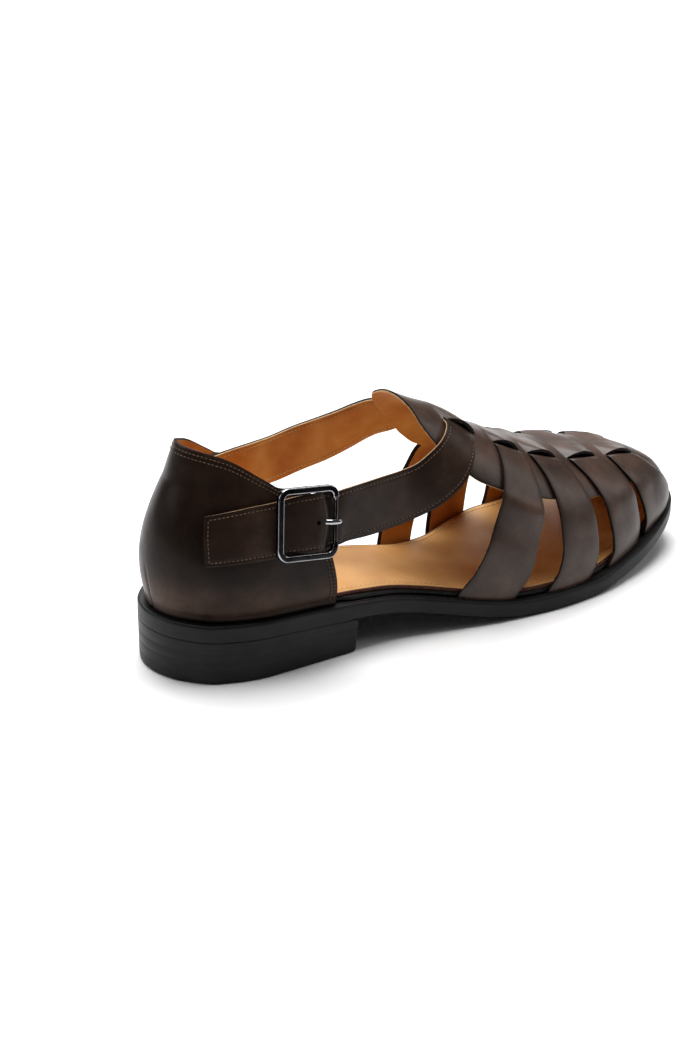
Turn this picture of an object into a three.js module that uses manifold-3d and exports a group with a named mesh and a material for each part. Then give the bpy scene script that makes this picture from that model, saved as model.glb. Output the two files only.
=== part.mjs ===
// A leather fisherman sandal for the right foot: woven strap upper, ankle strap with a buckle, stacked heel.
import * as THREE from "three";
import { mergeVertices } from "three/addons/utils/BufferGeometryUtils.js";
import Module from "manifold-3d";

const wasm = await Module();
wasm.setup();

// Driving sizes in mm: x runs from the back of the heel to the toe tip, y to the inner side, z up
const LENGTH = 300;
const FIT_GAP = 0.3;
const OUTSOLE_EDGE = 8.2;
const MIDSOLE_THICK = 2.3;
const INSOLE_THICK = 1.6;
const LEATHER = 1.8;
const UNDERLAY = 1.6;
const WELD = 0.15;
const COUNTER_LAP = 1;
const HEEL_BREAST = { foot: 90.2, top: 92 };
const HEEL_LIFTS = 4;
const LIFT_GROOVE = 0.2;
const COUNTER_HEIGHT = 82;
const COUNTER_DROP = 2.6;
const STRAP_INSET = 4.6;
const COUNTER_INSET = 3.2;
const INSOLE_INSET = 5.4;
const FOOT_CLEARANCE = 0.4;
const ROUND_END = 30;
const HEEL_TAPER = { foot: 0.6, top: 0.3 };
const GROOVE_SHARE = 0.02;
const INSOLE_ROUND = { inset: 0.7, share: 0.6 };

// Profile of the outsole's edge: inset from the rim at each share of its thickness
const OUTSOLE_PROFILE = [
  { inset: 1.2, share: 0 }, { inset: 0.3, share: 0.14 }, { inset: 0, share: 0.3 },
  { inset: 0, share: 0.86 }, { inset: 0.7, share: 1 },
];

// Builds one smooth function of x for each named column, with no overshoot between the rows
function table(names, rows) {
  const stations = rows.map((row) => row[0]);
  const columns = {};
  names.slice(1).forEach((name, k) => {
    columns[name] = monotone(stations, rows.map((row) => row[k + 1]));
  });
  return columns;
}

function monotone(xs, ys) {
  const last = xs.length - 1;
  const chord = ys.slice(1).map((y, k) => (y - ys[k]) / (xs[k + 1] - xs[k]));
  const slope = ys.map((_, k) => {
    if (k === 0) return chord[0];
    if (k === last) return chord[last - 1];
    const [a, b] = [chord[k - 1], chord[k]];
    return a * b <= 0 ? 0 : (2 * a * b) / (a + b);
  });
  return (value) => {
    const x = THREE.MathUtils.clamp(value, xs[0], xs[last]);
    let k = 0;
    while (k < last - 1 && x > xs[k + 1]) k += 1;
    const step = xs[k + 1] - xs[k];
    const t = (x - xs[k]) / step;
    const s = 1 - t;
    return (
      ys[k] * s * s * (1 + 2 * t) + slope[k] * step * t * s * s +
      ys[k + 1] * t * t * (3 - 2 * t) - slope[k + 1] * step * t * t * s
    );
  };
}

// Half widths of the sole's rim, kept as squares so that heel and toe come out round
const OUTLINE = table(
  ["x", "lateral", "medial"],
  [
    [0, 0, 0], [6, 20, 18.3], [20, 33, 29.8], [45, 38.8, 33], [75, 38.2, 30.4],
    [110, 37.5, 25.5], [140, 43.5, 24.5], [170, 50, 33], [200, 52.4, 47], [222, 50.5, 52.4],
    [250, 42.5, 49.5], [270, 33.5, 41], [285, 24, 29.5], [294, 15.5, 16.5], [300, 0, 0],
  ].map(([x, lateral, medial]) => [x, lateral ** 2, medial ** 2]),
);

// The midsole hides behind the counter, comes out in the waist and goes in again under the straps
const MIDSOLE_EDGE = table(
  ["u", "inset"],
  [[0, 5.6], [81, 5.6], [89, 3.7], [98, 3.7], [134, 5], [LENGTH, 5]],
);

// Height of the outsole's underside: heel seat, arch, flat tread under the ball, toe spring
const UNDERSIDE = table(
  ["x", "z"],
  [
    [0, 22], [45, 20.4], [80, 17.8], [105, 15], [130, 10.4], [155, 4.6],
    [178, 0.7], [190, 0], [220, 0], [240, 2.2], [260, 5.4], [280, 10], [300, 15.8],
  ],
);

// Sections of the last: ridge line, fullness and side bulge on each side
const LAST = table(
  ["x", "ridgeY", "ridgeZ", "fullLateral", "fullMedial", "bulgeLateral", "bulgeMedial"],
  [
    [80, -5, 140, 4.0, 4.0, 1.0, 3.0],
    [105, -5, 127, 3.2, 3.2, 1.0, 7.0],
    [128, -4, 111.5, 2.5, 2.5, 1.0, 8.0],
    [140, -4, 105, 2.4, 2.4, 1.2, 7.0],
    [155, -4, 97.2, 2.3, 2.3, 1.5, 5.0],
    [175, -3, 84, 2.25, 2.25, 2.0, 3.0],
    [200, -1, 70.3, 2.3, 2.4, 2.0, 2.0],
    [225, 1.5, 60.5, 2.35, 2.45, 2.0, 2.0],
    [250, 3, 54.5, 2.4, 2.5, 2.0, 2.0],
    [270, 3.5, 49, 2.45, 2.5, 1.8, 1.8],
    [284, 2.5, 42.5, 2.5, 2.5, 1.5, 1.5],
    [290, 1.8, 38, 2.5, 2.5, 1.0, 1.0],
    [293.5, 1.2, 33.2, 2.5, 2.5, 0.6, 0.6],
    [295, 0.6, 28.4, 2.5, 2.5, 0.3, 0.3],
    [295.4, 0.5, 24.2, 2.5, 2.5, 0, 0],
  ],
);

// Cross straps from instep to toe, faceted in splits across: rear and front edge along the foot at each share
// of the way from ridge (0) to sole (1)
const EDGE_COLUMNS = ["share", "rear", "front"];
const CROSS_STRAPS = [
  {
    splits: 3,
    lateral: [[0, 178.5, 195], [0.2, 178.7, 194.7], [0.4, 175.6, 194.3], [0.6, 169.3, 192.7],
      [0.8, 161.3, 187.2], [0.92, 154.2, 182.3], [1, 145.5, 175]],
    medial: [[0, 178.5, 195], [0.2, 177.7, 194], [0.4, 173.5, 190.5], [0.6, 165, 184],
      [0.8, 154, 174], [0.92, 146, 167.5], [1, 141, 163]],
  },
  {
    splits: 3,
    lateral: [[0, 199, 217], [0.2, 199.7, 218.4], [0.4, 201.6, 221.8], [0.6, 202.1, 224.2],
      [0.8, 202.1, 224.9], [0.92, 199.5, 224], [1, 193, 220]],
    medial: [[0, 199, 217], [0.2, 198.7, 217.6], [0.4, 196, 217], [0.6, 191.5, 215.5],
      [0.8, 185, 213], [0.92, 181, 211], [1, 178, 209]],
  },
  {
    splits: 4,
    lateral: [[0, 225, 244], [0.2, 225.9, 245.5], [0.4, 229.8, 252.3], [0.6, 233.4, 256.5],
      [0.8, 236.1, 258.3], [0.92, 236.8, 259], [1, 232.6, 257.5]],
    medial: [[0, 225, 244], [0.2, 225.5, 245], [0.4, 227, 249.5], [0.6, 227.5, 251],
      [0.8, 226.5, 251.7], [0.92, 225, 251.5], [1, 222, 250]],
  },
  {
    splits: 7,
    lateral: [[0, 251.5, 270.5], [0.2, 252.6, 272.5], [0.4, 255.2, 280], [0.6, 260.2, 287],
      [0.8, 264.2, 291.5], [0.92, 265.4, 293], [1, 264, 292.5]],
    medial: [[0, 251.5, 270.5], [0.2, 252.3, 272], [0.4, 254.7, 279], [0.6, 258.5, 285.5],
      [0.8, 262, 289.5], [0.92, 263, 291], [1, 262, 291]],
  },
].map(({ splits, lateral, medial }) => ({
  splits,
  lateral: table(EDGE_COLUMNS, lateral),
  medial: table(EDGE_COLUMNS, medial),
}));

// Ankle strap rows from the weave back to the heel: lower and upper edge on the last or on the counter
const ANKLE_LATERAL = [
  { on: "last", low: [166.7, -0.12], high: [152.5, -0.1], lift: 0 },
  { on: "last", low: [166.9, -0.19], high: [151.2, -0.16], lift: 0.4 },
  { on: "last", low: [162.5, -0.312], high: [149.2, -0.25], lift: 1.5 },
  { on: "last", low: [158.5, -0.43], high: [145.6, -0.33], lift: 1.6 },
  { on: "last", low: [153, -0.535], high: [141, -0.4], lift: 1.5 },
  { on: "last", low: [144.2, -0.638], high: [134.5, -0.478], lift: 1 },
  { on: "last", low: [135.4, -0.711], high: [127.5, -0.551], lift: 0.6 },
  { on: "last", low: [123.5, -0.79], high: [118.5, -0.628], lift: 0.2 },
  { on: "last", low: [111, -0.868], high: [108, -0.706], lift: 0 },
  { on: "last", low: [99, -0.911], high: [98.3, -0.76], lift: 0 },
  { on: "last", low: [86, -0.938], high: [86, -0.815], lift: 0 },
  { on: "counter", low: [79.5, 0.345], high: [79.5, 0.645], lift: -0.1 },
  { on: "counter", low: [75, 0.342], high: [75, 0.645], lift: -0.1 },
  { on: "counter", low: [70, 0.35], high: [70, 0.648], lift: 2.8 },
  { on: "counter", low: [64.7, 0.352], high: [64.7, 0.648], lift: 3.9 },
  { on: "counter", low: [59.2, 0.354], high: [59.2, 0.648], lift: 3.9 },
  { on: "counter", low: [54.2, 0.354], high: [54.2, 0.647], lift: 2.6 },
  { on: "counter", low: [49, 0.339], high: [49, 0.645], lift: -0.1 },
  { on: "counter", low: [45, 0.339], high: [44.6, 0.642], lift: -0.1 },
  { on: "counter", low: [36, 0.336], high: [35, 0.634], lift: -0.1 },
  { on: "counter", low: [24, 0.328], high: [22, 0.612], lift: -0.1 },
  { on: "counter", low: [14.8, 0.317], high: [12.2, 0.584], lift: -0.1 },
];
const ANKLE_MEDIAL = [
  { on: "last", low: [166.7, 0.12], high: [152.5, 0.1], lift: 0 },
  { on: "last", low: [166.7, 0.198], high: [151.4, 0.16], lift: 0.4 },
  { on: "last", low: [163, 0.3], high: [147, 0.25], lift: 1.5 },
  { on: "last", low: [156, 0.42], high: [138, 0.3], lift: 1.5 },
  { on: "last", low: [148, 0.5], high: [130.5, 0.34], lift: 1.2 },
  { on: "last", low: [138.9, 0.562], high: [124, 0.424], lift: 0.4 },
  { on: "last", low: [127.3, 0.672], high: [117, 0.53], lift: 0 },
  { on: "last", low: [117.3, 0.761], high: [108, 0.634], lift: 0 },
  { on: "last", low: [101.3, 0.861], high: [97, 0.72], lift: 0 },
  { on: "last", low: [87, 0.915], high: [85, 0.792], lift: -0.6 },
  { on: "counter", low: [74, 0.445], high: [68, 0.725], lift: -2.6 },
  { on: "counter", low: [62, 0.44], high: [53, 0.69], lift: -2.7 },
];

// Underlay below the straps: where its outer and inner edge lie, along the foot and as a share from ridge
// to sole; the tip of the tongue is cut at a slant
const UNDERLAY_EDGE = table(
  ["station", "lateralX", "lateralShare", "medialX", "medialShare"],
  [
    [128, 134.7, 0.245, 128.5, 0.22], [128.8, 135.3, 0.285, 129, 0.268], [131.5, 136.9, 0.33, 131.5, 0.315],
    [135, 138.9, 0.37, 135, 0.36], [139.5, 141.9, 0.416, 139.5, 0.405], [146, 147, 0.462, 146, 0.455],
    [152, 152, 0.497, 152, 0.497], [162, 162, 0.53, 162, 0.53], [250, 250, 0.53, 250, 0.53],
    [258, 258, 0.505, 258, 0.505], [272, 272, 0.46, 272, 0.46], [288, 288, 0.42, 288, 0.42],
  ],
);
const TONGUE_STATIONS = [128, 128.8, 131.5, 135, 138, 142, 147];
const TOE_STATIONS = [276, 281, 286];
const FIRST_SLIT = { rear: 151.4, front: 166.7 };
const SLIT_SHARE = 0.2;
const BAND_LIFT = 1.75;
const BRIDGE_LIFT = 0.6;
const BAND_EDGE = { from: 0.18, to: 0.235 };
const UNDER_BAND = { from: 0.17, to: 0.24 };
const WING_EDGE = { from: 0.5, to: 0.58 };

// Where the facets fall across a strap and across the underlay, from the ridge out
const STRAP_SHARES = [0.17, 0.2, 0.24, 0.32, 0.42, 0.5, 0.58, 0.7, 0.8, 0.9, 0.96, 1];
const UNDERLAY_SHARES = [0.2, 0.36, 0.44, 0.6, 0.8, 1];
const ANKLE_SPLITS = 3;

// Toe tab: a fan of lines round the toe tip, from the middle of the toe box down to the sole
const TOE_CENTRE = { x: 272, y: 3.2 };
const TOE_TIP = 295.4;
const TOE_FAN = THREE.MathUtils.degToRad(62);
const TOE_RANGE = { inner: 0.36, outer: 0.985 };
const TOE_SPLITS = { around: 12, down: 7 };
const FAN_SEARCH = 40;
const TOE_STRAP_LIFT = { value: 1.45, from: 266, to: 280 };

// Top line of the heel counter, a little lower on the inner side, and the pull of its front edge
const TOP_LINE = table(
  ["u", "height"],
  [[0, 0.925], [12, 0.897], [20, 0.873], [31, 0.82], [43, 0.75], [50, 0.708], [58, 0.678], [66, 0.655]],
);
const COUNTER_FOOT = 80;
const COUNTER_TOP = 66;
const INNER_DROP = { size: 0.03, reach: 10 };
const FRONT_PULL = 1.6;
const COUNTER_SPLITS = { along: 28, up: 6 };

// The counter leans in at the back, swells low down and pinches towards its top line
const LEAN = { size: 17, power: 1.7, hollow: 4, hollowRise: 1.4, fade: 42 };
const PINCH = { size: 0.33, power: 2.2, fade: 75, even: 0.14 };
const BELLY = { size: 0.09, height: 0.2 };

// Buckle
const BUCKLE_WIDTH = 32.3;
const BUCKLE_HEIGHT = 34.3;
const BUCKLE_CORNER = 5.5;
const BUCKLE_THICK = 3;
const BUCKLE_RAIL = 3.1;
const BUCKLE_ROD = 2.2;
const BUCKLE_EDGE = 0.6;
const BUCKLE_SEAT = { u: 61.2, height: 0.509 };
const BUCKLE_TILT = THREE.MathUtils.degToRad(-3.5);
const BUCKLE_LIFT = 2.9;
const CENTRE_BAR_RADIUS = 1.1;
const CENTRE_BAR_LIFT = 2.4;
const CENTRE_BAR_SIDES = 10;
const PRONG_RADIUS = 0.9;
const PRONG_PATH = [[2.8, 2.6], [5.5, 3.8], [8.5, 5.7], [11.5, 7.2], [15.2, 7.3], [17, 6.8]];
const HOLE_CLEARANCE = 0.4;

function halfWidth(side, x) {
  const square = side < 0 ? OUTLINE.lateral(x) : OUTLINE.medial(x);
  return Math.sqrt(Math.max(square, 0));
}

// A point of the rim's outline moved in by an inset, with the round ends kept
function insetPoint(side, u, inset) {
  const half = halfWidth(side, u);
  const shrink = 1 - inset / Math.max(half, ROUND_END);
  return { x: inset + (u * (LENGTH - 2 * inset)) / LENGTH, y: side * half * shrink };
}

function rimHeight(x) {
  return UNDERSIDE.z(x) + OUTSOLE_EDGE;
}

function strapLine(side, x) {
  const u = ((x - STRAP_INSET) * LENGTH) / (LENGTH - 2 * STRAP_INSET);
  const half = halfWidth(side, THREE.MathUtils.clamp(u, 0, LENGTH));
  return side * half * (1 - STRAP_INSET / Math.max(half, ROUND_END));
}

// The last's surface: share -1 at the outer side of the sole, 0 on the ridge, 1 at the inner side
function lastPoint(x, share) {
  const side = share < 0 ? -1 : 1;
  const fullness = side < 0 ? LAST.fullLateral(x) : LAST.fullMedial(x);
  const bulge = side < 0 ? LAST.bulgeLateral(x) : LAST.bulgeMedial(x);
  const turn = ((1 - Math.abs(share)) * Math.PI) / 2;
  const across = Math.max(Math.cos(turn), 0) ** (2 / fullness);
  const rise = Math.sin(turn) ** (2 / fullness);
  const low = rimHeight(x) + FOOT_CLEARANCE;
  const ridgeY = LAST.ridgeY(x);
  const swell = side * bulge * Math.sin(Math.PI * rise) * across;
  return new THREE.Vector3(
    x,
    ridgeY + (strapLine(side, x) - ridgeY) * across + swell,
    low + (LAST.ridgeZ(x) - low) * rise,
  );
}

function arch(value) {
  return Math.sin(Math.PI * Math.min(value, 1));
}

function fading(distance, reach) {
  return Math.exp(-((distance / reach) ** 2));
}

// The outside of the heel counter: u along the rim from the back, height as a share
function counterPoint(side, u, height) {
  const foot = insetPoint(side, u, COUNTER_INSET);
  const low = rimHeight(u) + FIT_GAP + MIDSOLE_THICK + FIT_GAP;
  const above = Math.max(height, 0);
  const hollow = LEAN.hollow * arch(above * LEAN.hollowRise);
  const lean = (LEAN.size * above ** LEAN.power - hollow) * fading(u, LEAN.fade);
  const swell = above / BELLY.height;
  const belly = BELLY.size * swell * Math.exp(1 - swell);
  const pinch = PINCH.size * above ** PINCH.power * fading(u, PINCH.fade) + PINCH.even * above ** 2 - belly;
  return new THREE.Vector3(foot.x + lean, foot.y * (1 - pinch), low + height * COUNTER_HEIGHT);
}

// A surface point moved out along its normal, from two nearby points on each side of it
function lifted(surface, a, b, stepA, stepB, lift) {
  const alongA = surface(a + stepA, b).sub(surface(a - stepA, b));
  const alongB = surface(a, b + stepB).sub(surface(a, b - stepB));
  return surface(a, b).addScaledVector(alongA.cross(alongB).normalize(), lift);
}

// Steps for the normals, and the limits that keep those steps on each surface
const ALONG_STEP = 0.05;
const SHARE_STEP = 0.002;
const HEIGHT_STEP = 0.01;
const TURN_STEP = 0.01;
const SHARE_LIMIT = 0.995;

// The same on the last, never lower than the clearance over the rim
function onLast(x, share, lift) {
  const inside = THREE.MathUtils.clamp(share, -SHARE_LIMIT, SHARE_LIMIT);
  const raised = lifted(lastPoint, x, inside, ALONG_STEP, SHARE_STEP, lift);
  raised.add(lastPoint(x, share)).sub(lastPoint(x, inside));
  raised.z = Math.max(raised.z, rimHeight(raised.x) + FOOT_CLEARANCE);
  return raised;
}

function onCounter(side, u, height, lift) {
  const surface = (a, b) => counterPoint(side, a, b);
  const back = Math.max(u, 1.2 * ALONG_STEP);
  const up = Math.max(height, 1.1 * HEIGHT_STEP);
  const raised = lifted(surface, back, up, ALONG_STEP, HEIGHT_STEP, -side * lift);
  return raised.add(surface(u, height)).sub(surface(back, up));
}

// Turns a closed triangle list the right way out
function closedGeometry(points, triangles) {
  let volume = 0;
  const cross = new THREE.Vector3();
  triangles.forEach(([a, b, c]) => {
    volume += points[a].dot(cross.crossVectors(points[b], points[c]));
  });
  const index = triangles.flatMap(([a, b, c]) => (volume < 0 ? [a, c, b] : [a, b, c]));
  const geometry = new THREE.BufferGeometry().setFromPoints(points);
  geometry.setIndex(index);
  return geometry;
}

// A wall with thickness over a grid: pair(u, v) gives its inner and outer point
function wall(columns, rows, pair) {
  const points = [];
  columns.forEach((u) => rows.forEach((v) => points.push(...pair(u, v))));
  const across = rows.length;
  const at = (i, j, layer) => 2 * (i * across + j) + layer;
  const triangles = [];
  const quad = (a, b, c, d) => triangles.push([a, b, c], [a, c, d]);
  for (let i = 0; i < columns.length - 1; i += 1) {
    for (let j = 0; j < across - 1; j += 1) {
      quad(at(i, j, 1), at(i + 1, j, 1), at(i + 1, j + 1, 1), at(i, j + 1, 1));
      quad(at(i, j, 0), at(i, j + 1, 0), at(i + 1, j + 1, 0), at(i + 1, j, 0));
    }
    const end = across - 1;
    quad(at(i, 0, 0), at(i + 1, 0, 0), at(i + 1, 0, 1), at(i, 0, 1));
    quad(at(i, end, 0), at(i, end, 1), at(i + 1, end, 1), at(i + 1, end, 0));
  }
  const far = columns.length - 1;
  for (let j = 0; j < across - 1; j += 1) {
    quad(at(0, j, 0), at(0, j, 1), at(0, j + 1, 1), at(0, j + 1, 0));
    quad(at(far, j, 0), at(far, j + 1, 0), at(far, j + 1, 1), at(far, j, 1));
  }
  return closedGeometry(points, triangles);
}

// A slab between stacked outlines: each level has its reach along the shoe, an inset and a height
function slab(stations, levels) {
  const points = [];
  const count = stations.length;
  levels.forEach((level) => {
    [-1, 1].forEach((side) => {
      stations.forEach((station) => {
        const u = station * level.reach;
        const p = insetPoint(side, u, level.inset(u));
        points.push(new THREE.Vector3(p.x, p.y, level.z(p.x)));
      });
    });
  });
  const at = (level, k) => {
    const ring = level * 2 * count;
    return k < count ? ring + k : ring + count + (2 * count - 1 - k);
  };
  const triangles = [];
  const around = 2 * count;
  for (let level = 0; level < levels.length - 1; level += 1) {
    for (let k = 0; k < around; k += 1) {
      const next = (k + 1) % around;
      triangles.push([at(level, k), at(level, next), at(level + 1, next)]);
      triangles.push([at(level, k), at(level + 1, next), at(level + 1, k)]);
    }
  }
  const top = levels.length - 1;
  for (let k = 0; k < count - 1; k += 1) {
    const mate = around - 1 - k;
    triangles.push([at(0, k), at(0, mate), at(0, mate - 1)]);
    triangles.push([at(0, k), at(0, mate - 1), at(0, k + 1)]);
    triangles.push([at(top, k), at(top, k + 1), at(top, mate - 1)]);
    triangles.push([at(top, k), at(top, mate - 1), at(top, mate)]);
  }
  return tidy(closedGeometry(points, triangles));
}

// Merges equal points and drops the triangles that shrink to a line at the round ends
function tidy(geometry) {
  const merged = mergeVertices(geometry, 1e-3);
  const source = merged.index.array;
  const index = [];
  for (let k = 0; k < source.length; k += 3) {
    const [a, b, c] = [source[k], source[k + 1], source[k + 2]];
    if (a !== b && b !== c && c !== a) index.push(a, b, c);
  }
  merged.setIndex(index);
  return merged;
}

function toSolid(geometry) {
  const bare = geometry.clone();
  bare.deleteAttribute("normal");
  bare.deleteAttribute("uv");
  const merged = tidy(bare);
  const mesh = new wasm.Mesh({
    numProp: 3,
    vertProperties: new Float32Array(merged.attributes.position.array),
    triVerts: new Uint32Array(merged.index.array),
  });
  return new wasm.Manifold(mesh);
}

function fromSolid(solid) {
  const mesh = solid.getMesh();
  const geometry = new THREE.BufferGeometry();
  geometry.setAttribute("position", new THREE.Float32BufferAttribute(mesh.vertProperties, mesh.numProp));
  geometry.setIndex(Array.from(mesh.triVerts));
  return geometry;
}

function spread(count, from = 0, to = 1) {
  return Array.from({ length: count + 1 }, (_, k) => from + ((to - from) * k) / count);
}

function ramp(value, from, to) {
  return THREE.MathUtils.smoothstep(value, from, to);
}

function bothSides(shares) {
  return [...shares.map((share) => -share).reverse(), 0, ...shares];
}

// Stations that crowd towards both round ends of the sole
const SOLE_SPLITS = 40;
const HEEL_SPLITS = 18;
const SOLE_STATIONS = spread(SOLE_SPLITS).map((t) => (1 - Math.cos(Math.PI * t)) / 2);
const HEEL_STATIONS = spread(HEEL_SPLITS).map((t) => t * t);

function outsole() {
  return slab(SOLE_STATIONS, OUTSOLE_PROFILE.map(({ inset, share }) => ({
    reach: LENGTH,
    inset: () => inset,
    z: (x) => UNDERSIDE.z(x) + OUTSOLE_EDGE * share,
  })));
}

// The heel is a stack of lifts, with a shallow groove between each pair
function heel() {
  const levels = [];
  const level = (inset, share) => levels.push({
    reach: THREE.MathUtils.lerp(HEEL_BREAST.foot, HEEL_BREAST.top, share),
    inset: () => inset,
    z: (x) => (UNDERSIDE.z(x) - FIT_GAP) * share,
  });
  spread(HEEL_LIFTS).forEach((share, k) => {
    const taper = THREE.MathUtils.lerp(HEEL_TAPER.foot, HEEL_TAPER.top, share);
    if (k > 0 && k < HEEL_LIFTS) {
      level(taper, share - GROOVE_SHARE);
      level(taper + LIFT_GROOVE, share);
      level(taper, share + GROOVE_SHARE);
    } else {
      level(taper, share);
    }
  });
  return slab(HEEL_STATIONS, levels);
}

function midsole() {
  const level = (height) => ({ reach: LENGTH, inset: MIDSOLE_EDGE.inset, z: (x) => rimHeight(x) + height });
  return slab(SOLE_STATIONS, [level(FIT_GAP), level(FIT_GAP + MIDSOLE_THICK)]);
}

function insole() {
  const bottom = FIT_GAP + MIDSOLE_THICK + FIT_GAP;
  const level = (inset, height) => ({ reach: LENGTH, inset: () => inset, z: (x) => rimHeight(x) + height });
  return slab(SOLE_STATIONS, [
    level(INSOLE_INSET, bottom),
    level(INSOLE_INSET, bottom + INSOLE_ROUND.share * INSOLE_THICK),
    level(INSOLE_INSET + INSOLE_ROUND.inset, bottom + INSOLE_THICK),
  ]);
}

function topLine(side, u) {
  const drop = side < 0 ? 0 : INNER_DROP.size * (1 - fading(u, INNER_DROP.reach));
  return TOP_LINE.height(u) - drop;
}

// The counter wraps the heel from side to side: s along it, t up it
function counterWall() {
  return wall(spread(COUNTER_SPLITS.along, -1, 1), spread(COUNTER_SPLITS.up), (s, t) => {
    const side = s < 0 ? -1 : 1;
    const reach = s * s;
    const u = reach * (COUNTER_FOOT - (COUNTER_FOOT - COUNTER_TOP) * t ** FRONT_PULL);
    const top = topLine(side, reach * COUNTER_TOP);
    const height = THREE.MathUtils.lerp(-COUNTER_DROP / COUNTER_HEIGHT, top, t);
    return [onCounter(side, u, height, -LEATHER), onCounter(side, u, height, 0)];
  });
}

// How far a cross strap stands off the last: under the band, over the underlay, then on the foot
function strapLift(share) {
  const far = Math.abs(share);
  const out = ramp(far, UNDER_BAND.from, UNDER_BAND.to);
  const down = ramp(far, WING_EDGE.from, WING_EDGE.to);
  return (UNDERLAY - WELD) * (out - down);
}

// The toe strap also rides over the toe tab
function toeLift(x) {
  return TOE_STRAP_LIFT.value * ramp(x, TOE_STRAP_LIFT.from, TOE_STRAP_LIFT.to);
}

function crossStrap(strap) {
  return wall(bothSides(STRAP_SHARES), spread(strap.splits), (share, v) => {
    const edge = share < 0 ? strap.lateral : strap.medial;
    const far = Math.abs(share);
    const x = THREE.MathUtils.lerp(edge.rear(far), edge.front(far), v);
    const lift = far > SLIT_SHARE ? Math.max(strapLift(share), toeLift(x)) : strapLift(share);
    return [onLast(x, share, 0), onLast(x, share, lift + LEATHER)];
  });
}

// The underlay: tongue, middle band that rides over the straps, wings under them, toe tab
function underlay() {
  const slits = [FIRST_SLIT, ...CROSS_STRAPS.map(({ lateral }) => ({
    rear: lateral.rear(SLIT_SHARE),
    front: lateral.front(SLIT_SHARE),
  }))];
  const slitStations = slits.flatMap(({ rear, front }) => [rear, (rear + front) / 2, front]);
  const stations = [...TONGUE_STATIONS, ...slitStations, ...TOE_STATIONS];
  const bandLift = (x) => slits.reduce((lift, { rear, front }) => {
    const t = THREE.MathUtils.clamp((x - rear) / (front - rear), 0, 1);
    return Math.max(lift, BRIDGE_LIFT + (BAND_LIFT - BRIDGE_LIFT) * Math.sin(Math.PI * t));
  }, BRIDGE_LIFT);
  return wall(stations, bothSides(UNDERLAY_SHARES), (station, w) => {
    const edges = [UNDERLAY_EDGE.lateralX(station), UNDERLAY_EDGE.medialX(station)];
    const x = THREE.MathUtils.lerp(...edges, (1 + w) / 2);
    const share = w * (w < 0 ? UNDERLAY_EDGE.lateralShare(station) : UNDERLAY_EDGE.medialShare(station));
    const lift = bandLift(x) * (1 - ramp(Math.abs(share), BAND_EDGE.from, BAND_EDGE.to));
    return [onLast(x, share, 0), onLast(x, share, lift + UNDERLAY)];
  });
}

// Height of the last over a place in plan, and how far a fan line runs before it meets the sole
function lastHeight(x, y) {
  const ridgeY = LAST.ridgeY(x);
  const side = y < ridgeY ? -1 : 1;
  const fullness = side < 0 ? LAST.fullLateral(x) : LAST.fullMedial(x);
  const reach = Math.max(side * (strapLine(side, x) - ridgeY), 1e-6);
  const across = Math.min((side * (y - ridgeY)) / reach, 1);
  const rise = (1 - across ** fullness) ** (1 / fullness);
  const low = rimHeight(x) + FOOT_CLEARANCE;
  return low + (LAST.ridgeZ(x) - low) * rise;
}

function fanReach(turn) {
  const side = turn < 0 ? -1 : 1;
  const inside = (r) => {
    const x = TOE_CENTRE.x + r * Math.cos(turn);
    const y = TOE_CENTRE.y + r * Math.sin(turn);
    return x < TOE_TIP && side * (y - strapLine(side, x)) < 0;
  };
  let [near, far] = [0, LENGTH];
  for (let k = 0; k < FAN_SEARCH; k += 1) {
    const middle = (near + far) / 2;
    if (inside(middle)) near = middle;
    else far = middle;
  }
  return near;
}

function toeTab() {
  const surface = (turn, down) => {
    const r = fanReach(turn) * Math.sin((down * Math.PI) / 2);
    const x = TOE_CENTRE.x + r * Math.cos(turn);
    const y = TOE_CENTRE.y + r * Math.sin(turn);
    return new THREE.Vector3(x, y, lastHeight(x, y));
  };
  const around = spread(TOE_SPLITS.around, -TOE_FAN, TOE_FAN);
  return wall(around, spread(TOE_SPLITS.down, TOE_RANGE.inner, TOE_RANGE.outer), (turn, down) => {
    const outer = lifted(surface, turn, down, TURN_STEP, HEIGHT_STEP, -UNDERLAY);
    outer.z = Math.max(outer.z, rimHeight(outer.x) + FOOT_CLEARANCE);
    return [surface(turn, down), outer];
  });
}

function ankleStrap(rows, side) {
  const { lerp } = THREE.MathUtils;
  const indices = rows.map((_, k) => k);
  return wall(indices, spread(ANKLE_SPLITS), (k, v) => {
    const { on, low, high, lift } = rows[k];
    const along = lerp(low[0], high[0], v);
    const up = lerp(low[1], high[1], v);
    const at = (off) => (on === "last" ? onLast(along, up, off) : onCounter(side, along, up, off));
    const sunk = on === "last" ? 0 : -COUNTER_LAP;
    const lies = on === "last" || Math.abs(lift) < WELD;
    return [at(lies ? Math.min(lift, sunk) : lift), at(lift + LEATHER)];
  });
}

// Buckle frame of reference: x along the strap to the front, y up the strap, z out of the counter
function buckleSeat() {
  const { u, height } = BUCKLE_SEAT;
  const seat = onCounter(-1, u, height, 0);
  const out = onCounter(-1, u, height, 1).sub(seat);
  const forward = onCounter(-1, u + 1, height, 0).sub(seat).normalize();
  const up = out.clone().cross(forward).normalize();
  const level = new THREE.Matrix4().makeBasis(up.clone().cross(out), up, out);
  const seatMatrix = level.multiply(new THREE.Matrix4().makeRotationZ(BUCKLE_TILT));
  return { position: seat, quaternion: new THREE.Quaternion().setFromRotationMatrix(seatMatrix) };
}

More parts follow.
